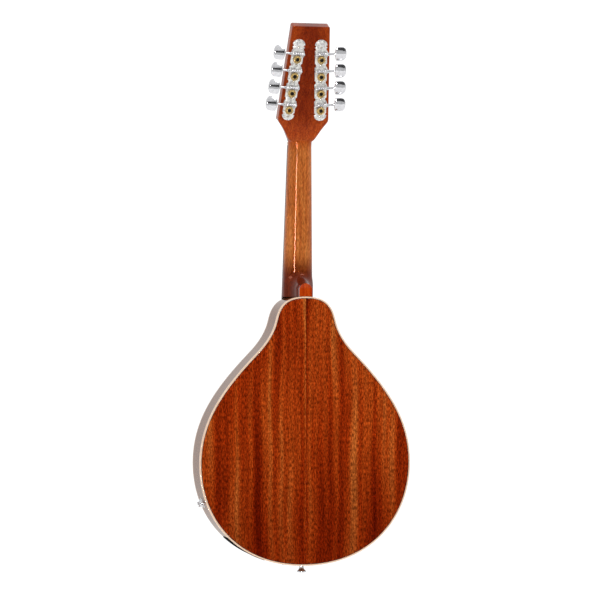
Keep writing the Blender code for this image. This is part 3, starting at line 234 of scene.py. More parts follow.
def finish(bm, name, material, body=root, replaced=(), angle=35):
    bmesh.ops.remove_doubles(bm, verts=bm.verts, dist=1e-6)
    bmesh.ops.recalc_face_normals(bm, faces=bm.faces)
    mesh = bpy.data.meshes.new(name)
    bm.to_mesh(mesh)
    bm.free()
    mesh.shade_smooth()
    mesh.set_sharp_from_angle(angle=math.radians(angle))
    piece = bpy.data.objects.new(name, mesh)
    bpy.context.scene.collection.objects.link(piece)
    mesh.materials.append(material)
    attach(piece, body)
    if replaced:
        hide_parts(*replaced)
    return piece


def ringEdges(ring):
    return [next(e for e in here.link_edges if e.other_vert(here) == there)
            for here, there in zip(ring, ring[1:] + ring[:1])]


def sweep(rings, closed=False):
    # one loop of points after another, joined into a skin
    bm = bmesh.new()
    ring = bmesh.ops.create_circle(bm, segments=len(rings[0]), radius=1.0)["verts"]
    first = ring
    for vert, point in zip(ring, rings[0]):
        vert.co = point
    for points in rings[1:]:
        made = bmesh.ops.extrude_edge_only(bm, edges=ringEdges(ring))["geom"]
        old = set(ring)
        after = {}
        for vert in made:
            if isinstance(vert, bmesh.types.BMVert):
                for edge in vert.link_edges:
                    if edge.other_vert(vert) in old:
                        after[edge.other_vert(vert)] = vert
        ring = [after[v] for v in ring]
        for vert, point in zip(ring, points):
            vert.co = point
    if closed:
        bmesh.ops.bridge_loops(bm, edges=ringEdges(ring) + ringEdges(first))
    else:
        bmesh.ops.contextual_create(bm, geom=ringEdges(first))
        bmesh.ops.contextual_create(bm, geom=ringEdges(ring))
    return bm


def bevelEdges(bm, edges, size, steps=2):
    bmesh.ops.bevel(bm, geom=list(edges), offset=size, segments=steps, profile=0.5, affect="EDGES",
                    material=-1, clamp_overlap=True)
    return bm


def endEdges(bm, corners):
    return {e for f in bm.faces if len(f.verts) == corners for e in f.edges}


def slab(outline, yFrom, yTo, bevel=0.0, steps=2, ends="both"):
    # a flat outline in X and Z made thick along Y, the edges of its faces rounded
    bm = sweep([[(x, y, z) for x, z in outline] for y in (yFrom, yTo)])
    if bevel:
        flat = sorted((f for f in bm.faces if len(f.verts) == len(outline)),
                      key=lambda f: f.calc_center_median().y)
        chosen = {"both": flat, "first": flat[:1], "last": flat[-1:]}[ends]
        bevelEdges(bm, {e for f in chosen for e in f.edges}, bevel, steps)
    return bm


def turned(profile, sides, axis="Z"):
    # (along, radius) pairs spun round an axis, with both ends closed
    rings = []
    for along, radius in profile:
        ring = []
        for k in range(sides):
            a, b = radius * math.cos(math.tau * k / sides), radius * math.sin(math.tau * k / sides)
            ring.append((a, b, along) if axis == "Z" else (a, along, b))
        rings.append(ring)
    return sweep(rings)


def block(x, y, z, bevel=0.0, steps=2):
    bm = bmesh.new()
    middle = [(a + b) / 2 for a, b in (x, y, z)]
    size = [b - a for a, b in (x, y, z)]
    bmesh.ops.create_cube(bm, size=1.0, matrix=Matrix.Translation(middle) @ Matrix.Diagonal((*size, 1)))
    return bevelEdges(bm, bm.edges[:], bevel, steps) if bevel else bm


def placed(bm, matrix):
    bmesh.ops.transform(bm, matrix=matrix, verts=bm.verts)
    return bm


def axesAt(x, y, z, origin):
    # frame with the given axes, its origin at a point
    place = Matrix((x, y, z)).transposed().to_4x4()
    place.translation = origin
    return place


def join(target, *sources):
    for source in sources:
        mesh = bpy.data.meshes.new("joining")
        bmesh.ops.recalc_face_normals(source, faces=source.faces)
        source.to_mesh(mesh)
        source.free()
        target.from_mesh(mesh)
        bpy.data.meshes.remove(mesh)
    return target


def cutAway(piece, bm):
    mesh = bpy.data.meshes.new("cutter")
    bmesh.ops.recalc_face_normals(bm, faces=bm.faces)
    bm.to_mesh(mesh)
    bm.free()
    tool = bpy.data.objects.new("cutter", mesh)
    bpy.context.scene.collection.objects.link(tool)
    cut = piece.modifiers.new("opening", "BOOLEAN")
    cut.operation, cut.solver, cut.object = "DIFFERENCE", "EXACT", tool
    whole = bpy.data.meshes.new_from_object(piece.evaluated_get(bpy.context.evaluated_depsgraph_get()))
    piece.modifiers.clear()
    old, piece.data = piece.data, whole
    bpy.data.meshes.remove(old)
    bpy.data.objects.remove(tool)
    whole.set_sharp_from_angle(angle=math.radians(35))


def mirrored(points):
    return [(-x, z) for x, z in points]


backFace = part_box("back_binding")[1].y
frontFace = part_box("top_binding")[0].y
bodyBottom, bodyTop = (corner.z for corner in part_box("back_binding"))
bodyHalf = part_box("back_binding")[1].x
middleY = (frontFace + backFace) / 2
soundholeZ = bodyTop - 140 * mm
body = {"binding": 2.4 * mm, "bindingHeight": 5.5 * mm, "purfling": 0.9 * mm, "plate": 3.0 * mm,
        "edge": 1.0 * mm, "rim": 2.4 * mm, "steps": (16, 9, 22, 36)}
rosette = {"hole": 41 * mm, "margin": 6 * mm, "width": 12 * mm, "line": 1.0 * mm, "ropes": 60.0,
           "slant": 2600.0}
# outline from the neck round the treble side to the tail: shares of half width and of length
bodyCurve = (((0.000, 1.000), (0.181, 1.000), (0.249, 0.971), (0.283, 0.912)),
             ((0.283, 0.912), (0.300, 0.882), (0.342, 0.840), (0.466, 0.790)),
             ((0.466, 0.790), (0.781, 0.660), (1.000, 0.544), (1.000, 0.381)),
             ((1.000, 0.381), (1.000, 0.171), (0.629, 0.000), (0.000, 0.000)))


def halfOutline(inset=0.0):
    points = []
    for handles, count in zip(bodyCurve, body["steps"]):
        knots = [Vector((x * bodyHalf, bodyBottom + z * (bodyTop - bodyBottom), 0)) for x, z in handles]
        stretch = geometry.interpolate_bezier(*knots, count + 1)
        points += stretch[1:] if points else stretch
    moved = []
    for i, point in enumerate(points):
        slope = points[min(i + 1, len(points) - 1)] - points[max(i - 1, 0)]
        if i in (0, len(points) - 1):
            slope = Vector((1 if i == 0 else -1, 0, 0))
        outward = Vector((-slope.y, slope.x)).normalized()
        moved.append((point.x - inset * outward.x, point.y - inset * outward.y))
    return moved


def fullOutline(inset=0.0):
    half = halfOutline(inset)
    return half + mirrored(half[-2:0:-1])


def hoop(outer, inner, yFrom, yTo, bevel=0.0):
    # closed band between two matching outlines; yTo is its outer face, whose edge is rounded
    rings = []
    turn = math.copysign(bevel, yTo - yFrom)
    for (xo, zo), (xi, zi) in zip(outer, inner):
        section = [(xo, yFrom, zo)]
        if bevel:
            for k in range(4):
                a = math.pi / 2 * k / 3
                share = bevel * (1 - math.cos(a)) / math.dist((xo, zo), (xi, zi))
                section.append((xo + (xi - xo) * share, yTo - turn * (1 - math.sin(a)),
                                zo + (zi - zo) * share))
        else:
            section.append((xo, yTo, zo))
        rings.append(section + [(xi, yTo, zi), (xi, yFrom, zi)])
    return sweep(rings, closed=True)


backWood = makeBackWood()
spruce = makeSpruce()
rimWood = makeWood("lacqueredRimMahogany", ("#6a3a1e", "#7f4a24", "#935c30"),
                   (30 * mm, 2.6 * mm, 60 * mm), (5 * mm, 0.9 * mm, 6 * mm),
                   {**lacquer, "Coat Weight": 0.2, "Coat Tint": "#e6c8a0"})
neckWood = makeNeckWood()
capWood = makeWood("paduakHeelCap", ("#9c2a06", "#b83a0a", "#d05214"),
                   (4 * mm, 4 * mm, 40 * mm), (1.0 * mm, 1.0 * mm, 5 * mm), amount=0.35)
rosewood = makeWood("oiledRosewood", ("#2a1510", "#3a1e15", "#4d2a1b"),
                    (2.5 * mm, 5 * mm, 70 * mm), (0.7 * mm, 0.7 * mm, 6 * mm),
                    {"Roughness": 0.42, "Specular IOR Level": 0.4})
innerWood = makeWood("bareLiningWood", ("#a9804f", "#bd9562", "#cfaa78"),
                     (3 * mm, 3 * mm, 40 * mm), (0.8 * mm, 0.8 * mm, 5 * mm),
                     {"Roughness": 0.75, "Specular IOR Level": 0.3})
cream = makePlain("creamCelluloidBinding", ("#ecc5a4", "#f6d3b6"),
                  {"Roughness": 0.25, "Coat Weight": 0.8, "Coat Roughness": 0.04}, 9 * mm)
darkLine = makePlain("stainedMapleLine", ("#2a120a", "#3c1a0e"), {"Roughness": 0.4}, 2 * mm)
bone = makePlain("polishedBone", ("#d8cdb4", "#ebe3cf"), {"Roughness": 0.32, "Subsurface Weight": 0.05},
                 3 * mm)
chrome = makePlain("castChrome", ("#d4d4d6", "#e6e6e8"), {"Metallic": 1.0, "Roughness": 0.09}, 4 * mm, 0.4,
                   0.06)
plateChrome = makePlain("stampedNickel", ("#d8d7d4", "#f4f3f0"), {"Metallic": 0.45, "Roughness": 0.3},
                        4.6 * mm, 0.3, 0.1)
keyChrome = makePlain("polishedKeyChrome", ("#d6d6d9", "#e6e6e9"), {"Metallic": 0.93, "Roughness": 0.1},
                      4 * mm, 0.3, 0.03)
brass = makePlain("cutBrass", ("#c09a4c", "#ecd092"), {"Metallic": 0.8, "Roughness": 0.25}, 1.6 * mm, 0.3,
                  0.15)
darkSteel = makePlain("blackenedSteel", ("#191716", "#2e2b29"), {"Metallic": 1.0, "Roughness": 0.38},
                      1.2 * mm)
nickel = makePlain("drawnNickelFret", ("#c6c2b8", "#dad6cc"), {"Metallic": 1.0, "Roughness": 0.18}, 1.5 * mm)
plainSteel = makePlain("drawnStringSteel", ("#b9babd", "#d4d5d8"), {"Metallic": 1.0, "Roughness": 0.2},
                       1 * mm)
bronze = makeWound("woundBronze", ("#8a5d33", "#d09c62"), 0.9 * mm)
pearl = makePlain("pearlDot", ("#cfd4d0", "#f2efe8"), {"Roughness": 0.2, "Coat Weight": 0.5}, 1.2 * mm)
blackPlastic = makePlain("mouldedBlackPlastic", ("#060607", "#0e0e0f"),
                         {"Roughness": 0.85, "Specular IOR Level": 0.02}, 0.8 * mm, 0.15, 0.1)
batteryCase = makePlain("printedSteelCan", ("#2c3038", "#3a3f49"), {"Metallic": 0.6, "Roughness": 0.35},
                        2 * mm)
print("materials ready")


# body: soundboard, back, rims and bindings
edge = body["binding"]
outerLine = fullOutline()
rimInside = fullOutline(body["rim"])
rims = finish(hoop(outerLine, rimInside, frontFace + body["bindingHeight"], backFace - body["bindingHeight"]),
              "rims", rimWood, replaced=("rim_bass", "rim_treble"), angle=30)
for name, node, face, deep in (("backBinding", "back_binding", backFace, -1),
                               ("topBinding", "top_binding", frontFace, 1)):
    finish(hoop(outerLine, fullOutline(edge), face + deep * body["bindingHeight"], face, body["edge"]),
           name, cream, replaced=(node,))
    finish(hoop(fullOutline(edge), fullOutline(edge + body["purfling"]), face + deep * 2 * mm,
                face - deep * 0.02 * mm), name + "Line", darkLine)

half = [(max(x, 0.0), z) for x, z in halfOutline(edge + body["purfling"])]
for name, node, points in (("backTreble", "back_plate_treble", half),
                           ("backBass", "back_plate_bass", mirrored(half)[::-1])):
    finish(slab(points, backFace - body["plate"], backFace, 0.03 * mm, 1, "last"), name, backWood,
           replaced=(node,))


def holedSheet(outline, hole, yFront, thickness):
    bm = bmesh.new()
    edges = []
    for points in (outline, hole):
        ring = bmesh.ops.create_circle(bm, segments=len(points), radius=1.0)["verts"]
        for vert, (x, z) in zip(ring, points):
            vert.co = (x, yFront, z)
        edges += ringEdges(ring)
    bmesh.ops.triangle_fill(bm, use_beauty=True, edges=edges)
    bmesh.ops.remove_doubles(bm, verts=bm.verts, dist=1e-7)
    made = bmesh.ops.extrude_face_region(bm, geom=bm.faces[:])["geom"]
    bmesh.ops.translate(bm, verts=[v for v in made if isinstance(v, bmesh.types.BMVert)],
                        vec=(0, thickness, 0))
    return bm


def circle(radius, count=96):
    return [(radius * math.cos(math.tau * k / count), soundholeZ + radius * math.sin(math.tau * k / count))
            for k in range(count)]


finish(holedSheet(fullOutline(edge + body["purfling"]), circle(rosette["hole"]), frontFace, body["plate"]),
       "soundboardTop", spruce, replaced=("soundboard",))
inner = rosette["hole"] + rosette["margin"]
outer = inner + rosette["width"]
line = rosette["line"]
finish(hoop(circle(outer - line), circle(inner + line), frontFace + 1 * mm, frontFace - 0.05 * mm),
       "rosetteRope", makeRope(), replaced=("rosette",))
for name, far, near in (("rosetteOuterLine", outer, outer - line), ("rosetteInnerLine", inner + line, inner)):
    finish(hoop(circle(far), circle(near), frontFace + 1 * mm, frontFace - 0.05 * mm), name, darkLine)
print("body done")

# neck: the frame of the strings, then the headstock leaning back from it
neck = {"angle": 4.0, "headAngle": 17.0, "shelf": 6 * mm, "nut": 39.6 * mm, "join": 50.6 * mm,
        "depthNut": 16.5 * mm, "depthJoin": 19.5 * mm, "round": 2.3, "blend": 6 * mm, "rays": 56}
heel = {"width": 21.5 * mm, "length": 21.5 * mm, "rise": 42 * mm, "cap": 2.5 * mm, "capEdge": 0.9 * mm}
head = {"length": 200.5 * mm, "depth": 15 * mm, "widest": 42.8 * mm, "widestAt": 39 * mm,
        "topHalf": 31.3 * mm, "endBevel": 6.0, "corner": 2.8 * mm, "square": 16.0, "veneer": 1.8 * mm}
neckFrame = Matrix.Rotation(math.radians(-neck["angle"]), 4, "X")
neckBack = neckFrame.inverted()
headFrame = (neckFrame @ Matrix.Translation((0, 0, neck["shelf"]))
             @ Matrix.Rotation(math.radians(-neck["headAngle"]), 4, "X"))


def neckHalf(u):
    return (neck["nut"] + (neck["join"] - neck["nut"]) * -u / -bodyTop) / 2


def shaftField(point):
    x, y, u = neckBack @ point
    share = -u / -bodyTop
    deep = neck["depthNut"] + (neck["depthJoin"] - neck["depthNut"]) * share
    n = neck["round"]
    return ((abs(x) / neckHalf(u)) ** n + (max(y, 0) / deep) ** n) ** (1 / n) * deep - deep


def heelField(point):
    lowest, highest = frontFace + 12 * mm, backFace - heel["cap"]
    share = min(max((point.y - lowest) / (highest - lowest), 0), 1)
    waist = (1 - min(share / 0.55, 1)) ** 1.7
    wide = heel["width"] / 2 + (neck["join"] / 2 - 2.2 * mm - heel["width"] / 2) * waist
    top = bodyTop + heel["length"] + (heel["rise"] - heel["length"]) * (1 - share) ** 2.2
    arch = min(wide, top - bodyTop)
    rise = point.z - (top - arch)
    away = abs(point.x) - wide if rise <= 0 else math.hypot(point.x, rise * wide / arch) - wide
    return max(away, point.y - highest)


def neckField(point):
    a, b, k = shaftField(point), heelField(point), neck["blend"]
    mix = max(k - abs(a - b), 0) / k
    return max(min(a, b) - mix * mix * k / 4, point.y - (backFace - heel["cap"]))


def reach(start, way):
    # how far along a ray the wood goes
    low, high = 0.0, 100 * mm
    while high - low > 0.01 * mm:
        middle = (low + high) / 2
        if neckField(start + way * middle) < 0:
            low = middle
        else:
            high = middle
    return low


def neckRing(z):
    start = Vector((0, z * math.tan(math.radians(neck["angle"])) + 0.0001, z))
    deep = reach(start, Vector((0, 1, 0)))
    wide = neckHalf(z)
    ring = []
    for k in range(neck["rays"] + 1):
        turn = math.pi * k / neck["rays"]
        way = Vector((wide * math.cos(turn), deep * math.sin(turn), 0)).normalized()
        ring.append(start + way * reach(start, way))
    return ring


def headHalf(z):
    if z >= head["widestAt"]:
        share = (z - head["widestAt"]) / (head["length"] - head["widestAt"])
        return head["widest"] + (head["topHalf"] - head["widest"]) * share
    share = max(z, 0) / head["widestAt"]
    knots = [Vector(p) for p in ((0, 0, 0), (0.14, 0.11, 0), (0.36, 0.27, 0), (0.60, 0.50, 0),
                                 (0.78, 0.70, 0), (0.92, 0.88, 0), (1, 1, 0))]
    stretch = (geometry.interpolate_bezier(*knots[:4], 13)[:-1] + geometry.interpolate_bezier(*knots[3:], 13))
    for a, b in zip(stretch, stretch[1:]):
        if a.x <= share <= b.x:
            grow = a.y + (b.y - a.y) * (share - a.x) / max(b.x - a.x, 1e-9)
            return neck["nut"] / 2 + (head["widest"] - neck["nut"] / 2) * grow
    return neck["nut"] / 2


def headRing(place, half, deep, square, shear=0.0):
    ring = []
    for k in range(neck["rays"] + 1):
        turn = math.pi * k / neck["rays"]
        c, s = math.cos(turn), math.sin(turn) if 0 < k < neck["rays"] else 0.0
        y = deep * s ** (2 / square)
        ring.append(place @ Vector((math.copysign(half * abs(c) ** (2 / square), c), y, -shear * y)))
    return ring


rings = []
for k in range(15):                             # close slices through the heel
    rings.append(neckRing(bodyTop - 0.4 * mm + k * 3.4 * mm))
for k in range(1, 13):                          # then wider ones up the neck
    rings.append(neckRing(bodyTop + 47.2 * mm + (-bodyTop - 57 * mm) * k / 12))
bend = neckFrame @ Matrix.Translation((0, 0, neck["shelf"]))
for turn, u, deep, square in ((0.0, -4.0, 16.5, 2.32), (0.0, 0.5, 16.5, 2.45), (4.0, 0.0, 16.45, 2.65),
                              (9.0, 0.0, 16.2, 2.9), (13.0, 2.5, 15.8, 3.3)):
    place = bend @ Matrix.Rotation(math.radians(-turn), 4, "X") @ Matrix.Translation(
        (0, 0, u * mm - (neck["shelf"] if turn == 0 else 0)))
    rings.append(headRing(place, neck["nut"] / 2, deep * mm, square))
flare = [4.5 * mm + 1.9 * mm * k for k in range(18)] + [head["widestAt"] + d * mm for d in (-1.0, 1.2, 4.0)]
for z in flare:
    square = min(head["square"], 3.2 + 13 * max(z - 4 * mm, 0) / (20 * mm))
    trim = 0.5 * mm if abs(z - head["widestAt"]) < 2 * mm else 0.0
    rings.append(headRing(headFrame @ Matrix.Translation((0, 0, z)), headHalf(z) - trim, head["depth"],
                          square))
slant = math.tan(math.radians(head["endBevel"]))
for k in range(9):
    turn = math.pi / 2 * k / 8
    z = head["length"] - head["corner"] * (1 - math.sin(turn))
    rings.append(headRing(headFrame @ Matrix.Translation((0, 0, z)),
                          headHalf(z) - head["corner"] * (1 - math.cos(turn)), head["depth"],
                          head["square"], slant))
finish(sweep(rings), "neckAndHead", neckWood, replaced=("neck",), angle=38)

arch = [(heel["width"] / 2 * math.cos(math.pi * k / 28),
         bodyTop + heel["length"] - heel["width"] / 2 * (1 - math.sin(math.pi * k / 28))) for k in range(29)]
capLine = [(heel["width"] / 2, bodyTop + 0.3 * mm)] + arch + [(-heel["width"] / 2, bodyTop + 0.3 * mm)]
finish(slab(capLine, backFace - heel["cap"] - 0.05 * mm, backFace, heel["capEdge"], 4, "last"), "heelCap",
       capWood, replaced=("heel_cap",))

right = [(headHalf(z), z) for z in [0.8 * mm] + flare]
right += [(headHalf(head["length"] - head["corner"] * (1 - math.sin(math.pi / 2 * k / 8)))
           - head["corner"] * (1 - math.cos(math.pi / 2 * k / 8)),
           head["length"] - head["corner"] * (1 - math.sin(math.pi / 2 * k / 8))) for k in range(9)]
finish(placed(slab(right + mirrored(right)[::-1], -head["veneer"], 0, 0.35 * mm, 2, "first"), headFrame),
       "headFace", rosewood, replaced=("headstock_veneer",))

cover = {"thick": 1.8 * mm, "edge": 0.5 * mm}
bell = [(9.8, 1.2), (9.9, 4.0), (9.3, 8.5), (7.8, 13.0), (6.3, 18.0), (5.3, 24.0), (4.7, 31.0), (4.1, 35.5),
        (3.0, 38.4), (1.4, 39.8)]
bell = [(x * mm, z * mm) for x, z in bell]
front = -head["veneer"] - 0.1 * mm
bm = slab(bell + mirrored(bell)[::-1], front - cover["thick"], front, cover["edge"], 3, "first")
screws = [placed(turned([(0.2 * mm, 1.6 * mm), (-0.5 * mm, 1.5 * mm), (-0.9 * mm, 0.9 * mm)], 20, "Y"),
                 Matrix.Translation((0, front - cover["thick"], z * mm))) for z in (5.0, 34.0)]
finish(placed(bm, headFrame), "rodCover", blackPlastic, replaced=("truss_rod_cover",))
finish(placed(join(bmesh.new(), *screws), headFrame), "rodCoverScrews", chrome)

# fingerboard, frets and dots
board = {"thick": 5.2 * mm, "over": 80 * mm, "frets": 18, "fret": 2.2 * mm, "crown": 1.0 * mm,
         "edge": 0.6 * mm, "dot": 3.0 * mm, "scale": 500 * mm}


def boardSection(u):
    lean = math.radians(neck["angle"])
    floor = max((frontFace - u * math.sin(lean)) / math.cos(lean), 0.0) if u < bodyTop else 0.0
    wide, top, soft = neckHalf(u), -board["thick"] - 0.3 * mm, board["edge"]
    return [neckFrame @ Vector(p) for p in ((-wide, floor, u), (wide, floor, u), (wide, top + soft, u),
                                            (wide - 0.3 * soft, top + 0.3 * soft, u), (wide - soft, top, u),
                                            (soft - wide, top, u), (0.3 * soft - wide, top + 0.3 * soft, u),
                                            (-wide, top + soft, u))]


stops = [-0.3 * mm, -60 * mm, -120 * mm, -180 * mm, bodyTop + 1.5 * mm, bodyTop - 0.5 * mm, -290 * mm,
         bodyTop - board["over"]]
finish(sweep([boardSection(u) for u in stops]), "fingerboardWood", rosewood,
       replaced=("fingerboard",), angle=50)
top = -board["thick"] - 0.3 * mm
frets = bmesh.new()
for number in range(1, board["frets"] + 1):
    u = -board["scale"] * (1 - 2 ** (-number / 12))
    wide, ring = neckHalf(u) - 0.35 * mm, []
    for end in (-1, -0.97, 0.97, 1):
        low = 0.5 * board["crown"] if abs(end) == 1 else board["crown"]
        section = [(end * wide, top + 0.2 * mm, u - board["fret"] / 2)]
        for k in range(7):
            turn = math.pi * k / 6
            section.append((end * wide, top - low * math.sin(turn) * 0.98,
                            u - board["fret"] / 2 * math.cos(turn)))
        ring.append(section + [(end * wide, top + 0.2 * mm, u + board["fret"] / 2)])
    join(frets, placed(sweep(ring), neckFrame))
finish(frets, "frets", nickel)
dots = bmesh.new()
for number, x in ((3, 0), (5, 0), (7, 0), (10, 0), (12, -8 * mm), (12, 8 * mm), (15, 0), (17, 0)):
    u = -board["scale"] * (1 - (2 ** (-number / 12) + 2 ** (-(number - 1) / 12)) / 2)
    join(dots, placed(turned([(0.4 * mm, board["dot"]), (-0.02 * mm, board["dot"]),
                              (-0.05 * mm, board["dot"] - 0.2 * mm)], 28, "Y"),
                              neckFrame @ Matrix.Translation((x, top, u))))
finish(dots, "pearlDots", pearl)
print("neck done")

# tuners: two stamped plates, each with four worm gears
tuner = {"pitch": 28.7 * mm, "inset": 15 * mm, "plate": 20.5 * mm, "sheet": 1.2 * mm, "below": 18 * mm,
         "above": 33 * mm, "level": 20.22 * mm, "post": 3.0 * mm, "proud": 16.5 * mm, "centre": 9.4 * mm,
         "lug": 1.2 * mm, "span": 19.2 * mm, "lugLength": 9.6 * mm, "edge": 0.35 * mm}
gear = {"teeth": 14, "pitchRadius": 6.6 * mm, "wide": 3.6 * mm, "add": 0.6 * mm, "ded": 0.9 * mm,
        "screw": 3.1 * mm}
worm = {"pitchRadius": 2.8 * mm, "add": 0.62 * mm, "ded": 0.85 * mm, "turns": 3, "shaft": 1.9 * mm,
        "sides": 20}
button = {"start": 22.4 * mm, "long": 18.0 * mm, "high": 23.7 * mm, "thick": 8.6 * mm, "turn": 10.0,
          "edge": 0.4 * mm, "ridge": 1.3 * mm}
plateUnder = head["depth"] + 0.05 * mm
plateFace = head["depth"] + 0.3 * mm + tuner["sheet"]
wormPitch = math.tau * gear["pitchRadius"] / gear["teeth"]


def plateEdge():
    # right edge from the lower to the upper end: round ends, notches, and scallops between gears
    wide = tuner["plate"] / 2
    low, cap = -tuner["below"] + 9.5 * mm, 9.5 * mm
    points = [(wide * math.sin(math.pi / 2 * k / 8),
               low - cap * math.cos(math.pi / 2 * k / 8)) for k in range(1, 9)]
    steps = [(2.2, 0.6), (2.2, 2.2), (0.4, 3.4)]
    points += [(wide - x * mm, low + z * mm) for x, z in steps]
    for row in range(4):
        z0 = row * tuner["pitch"]
        points += [(wide - 0.4 * mm, z0 + 4.2 * mm), (wide, z0 + 4.9 * mm), (wide, z0 + 14.4 * mm)]
        if row < 3:
            for k in range(9):                  # a shallow scallop
                turn = math.pi * k / 8
                points.append((wide - 0.3 * mm - 1.9 * mm * math.sin(turn),
                               z0 + 18.3 * mm - 3.0 * mm * math.cos(turn)))
    high = 3 * tuner["pitch"] + tuner["above"] - cap
    for x, z in ((1.6, -8.0), (1.6, -5.4), (0.2, -4.6), (0.2, -3.0), (2.2, -2.2), (2.2, -0.6)):
        points.append((wide - x * mm, high + z * mm))
    points += [(wide * math.cos(math.pi / 2 * k / 8),
                high + cap * math.sin(math.pi / 2 * k / 8)) for k in range(8)]
    return points


def plateFrame(side):
    first, last = ((1, 4) if side < 0 else (5, 8))
    low = Vector(joints["string_post_%d_turn" % first]["pos_m"])
    high = Vector(joints["string_post_%d_turn" % last]["pos_m"])
    back = headFrame.to_3x3() @ Vector((0, 1, 0))
    up = (high - low).normalized()
    return axesAt(back.cross(up), back, up, low)


def lugShape(x, z):
    # an ear bent up from the plate, round at the top
    wide, tall = tuner["lugLength"] / 2, tuner["level"] + 2.5 * mm
    line = [(-wide, plateFace - 0.3 * mm), (wide, plateFace - 0.3 * mm)]
    line += [(wide * math.cos(math.pi * k / 12), tall - 2.6 * mm + 3.2 * mm * math.sin(math.pi * k / 12))
             for k in range(13)]
    bm = sweep([[(x + side * tuner["lug"] / 2, y, z + along) for along, y in line] for side in (-1, 1)])
    return bevelEdges(bm, endEdges(bm, len(line)), 0.3 * mm, 2)


def gearSkin():
    # toothed disc with a dished middle
    root_, tip = gear["pitchRadius"] - gear["ded"], gear["pitchRadius"] + gear["add"]
    half = gear["wide"] / 2
    lead = math.atan(wormPitch / (math.tau * worm["pitchRadius"]))
    twist = half * math.tan(lead) / gear["pitchRadius"]
    rings = []
    for y, turn, trim in ((-half, -twist, 0.35), (-half + 0.3 * mm, -twist * 0.8, 0),
                          (half - 0.3 * mm, twist * 0.8, 0), (half, twist, 0.35)):
        ring = []
        for tooth in range(gear["teeth"]):
            for offset, radius in ((-0.27, root_), (-0.20, root_ + 0.2 * mm), (-0.13, tip - 0.15 * mm),
                                   (-0.08, tip), (0.08, tip), (0.13, tip - 0.15 * mm),
                                   (0.20, root_ + 0.2 * mm), (0.27, root_)):
                a = math.tau * (tooth + 0.5 + offset) / gear["teeth"] + turn
                r = radius - trim * mm
                ring.append((r * math.sin(a), tuner["level"] + y, r * math.cos(a)))
        rings.append(ring)
    count = len(rings[0])
    for y, radius in ((half - 0.05 * mm, 4.7 * mm), (half - 0.9 * mm, 4.3 * mm), (half - 0.9 * mm, 1.0 * mm)):
        rings.append([(radius * math.sin(math.tau * (k + 4) / count), tuner["level"] + y,
                       radius * math.cos(math.tau * (k + 4) / count)) for k in range(count)])
    return sweep(rings)


def wormRadius(turn, along):
    phase = (along / wormPitch - turn / math.tau) % 1.0
    away = min(phase, 1 - phase)
    outer, core = worm["pitchRadius"] + worm["add"], worm["pitchRadius"] - worm["ded"]
    if away <= 0.10:
        return outer
    if away >= 0.25:
        return core
    return outer + (core - outer) * (away - 0.10) / 0.15


def keySkin():
    reachOut = worm["turns"] * wormPitch / 2
    inside = tuner["span"] / 2 - tuner["lug"] - 0.2 * mm
    core = worm["pitchRadius"] - worm["ded"] + 0.4 * mm
    start = button["start"]
    before = [(-inside - 2.9 * mm, 1.2 * mm), (-inside - 2.7 * mm, 1.9 * mm), (-inside - 1.5 * mm, 1.9 * mm),
              (-inside, 1.9 * mm), (-inside, core), (-reachOut - 1.0 * mm, core)]
    after = [(reachOut + 1.0 * mm, core), (inside, core), (inside, 1.9 * mm),
             (tuner["span"] / 2 + 0.3 * mm, 1.9 * mm), (tuner["span"] / 2 + 0.35 * mm, 2.7 * mm),
             (tuner["span"] / 2 + 2.8 * mm, 2.7 * mm), (tuner["span"] / 2 + 3.2 * mm, 2.2 * mm),
             (start - 2.6 * mm, 1.9 * mm), (start - 0.6 * mm, 2.4 * mm), (start + 1.2 * mm, 3.1 * mm),
             (start + 3.2 * mm, 1.8 * mm)]
    steps = worm["turns"] * 14
    rings = []
    for group in (before, None, after):
        if group is None:
            spots = [(-reachOut + 2 * reachOut * k / steps, None) for k in range(steps + 1)]
        else:
            spots = group
        for along, radius in spots:
            ring = []
            for k in range(worm["sides"]):
                a = math.tau * k / worm["sides"]
                r = wormRadius(a, along) if radius is None else radius
                ring.append((-r * math.cos(a), -r * math.sin(a), along))
            rings.append(ring)
    return sweep(rings)


def buttonSkin():
    # six-sided outline; two faces slope from a ridge on the shaft's line to thin edges
    half, ridge, thin = button["high"] / 2, button["thick"] / 2, 1.3 * mm
    stations = ((0.0, 0.20, 0.55), (0.03, 0.55, 0.68), (0.07, 0.86, 0.78), (0.13, 0.97, 0.84),
                (0.30, 1.0, 0.92), (0.62, 1.0, 1.0), (0.80, 0.94, 0.97), (0.92, 0.76, 0.93),
                (1.0, 0.42, 0.86))
    rings = []
    for share, tall, thick in stations:
        z, h, t = button["start"] + share * button["long"], half * tall, ridge * thick
        slope = max(t - (t - min(thin, t)) * tall, min(thin, t))
        flat = min(button["ridge"], h * 0.4)
        rings.append([(flat, t, z), (h, slope, z), (h, -slope, z), (flat, -t, z), (-flat, -t, z),
                      (-h, -slope, z), (-h, slope, z), (-flat, t, z)])
    bm = sweep(rings)
    bmesh.ops.dissolve_limit(bm, angle_limit=math.radians(2), verts=bm.verts, edges=bm.edges)
    sharp = [e for e in bm.edges if len(e.link_faces) == 2 and e.calc_face_angle(0) > math.radians(20)]
    bevelEdges(bm, sharp, button["edge"], 2)
    return placed(bm, Matrix.Rotation(math.radians(button["turn"]), 4, "Z"))


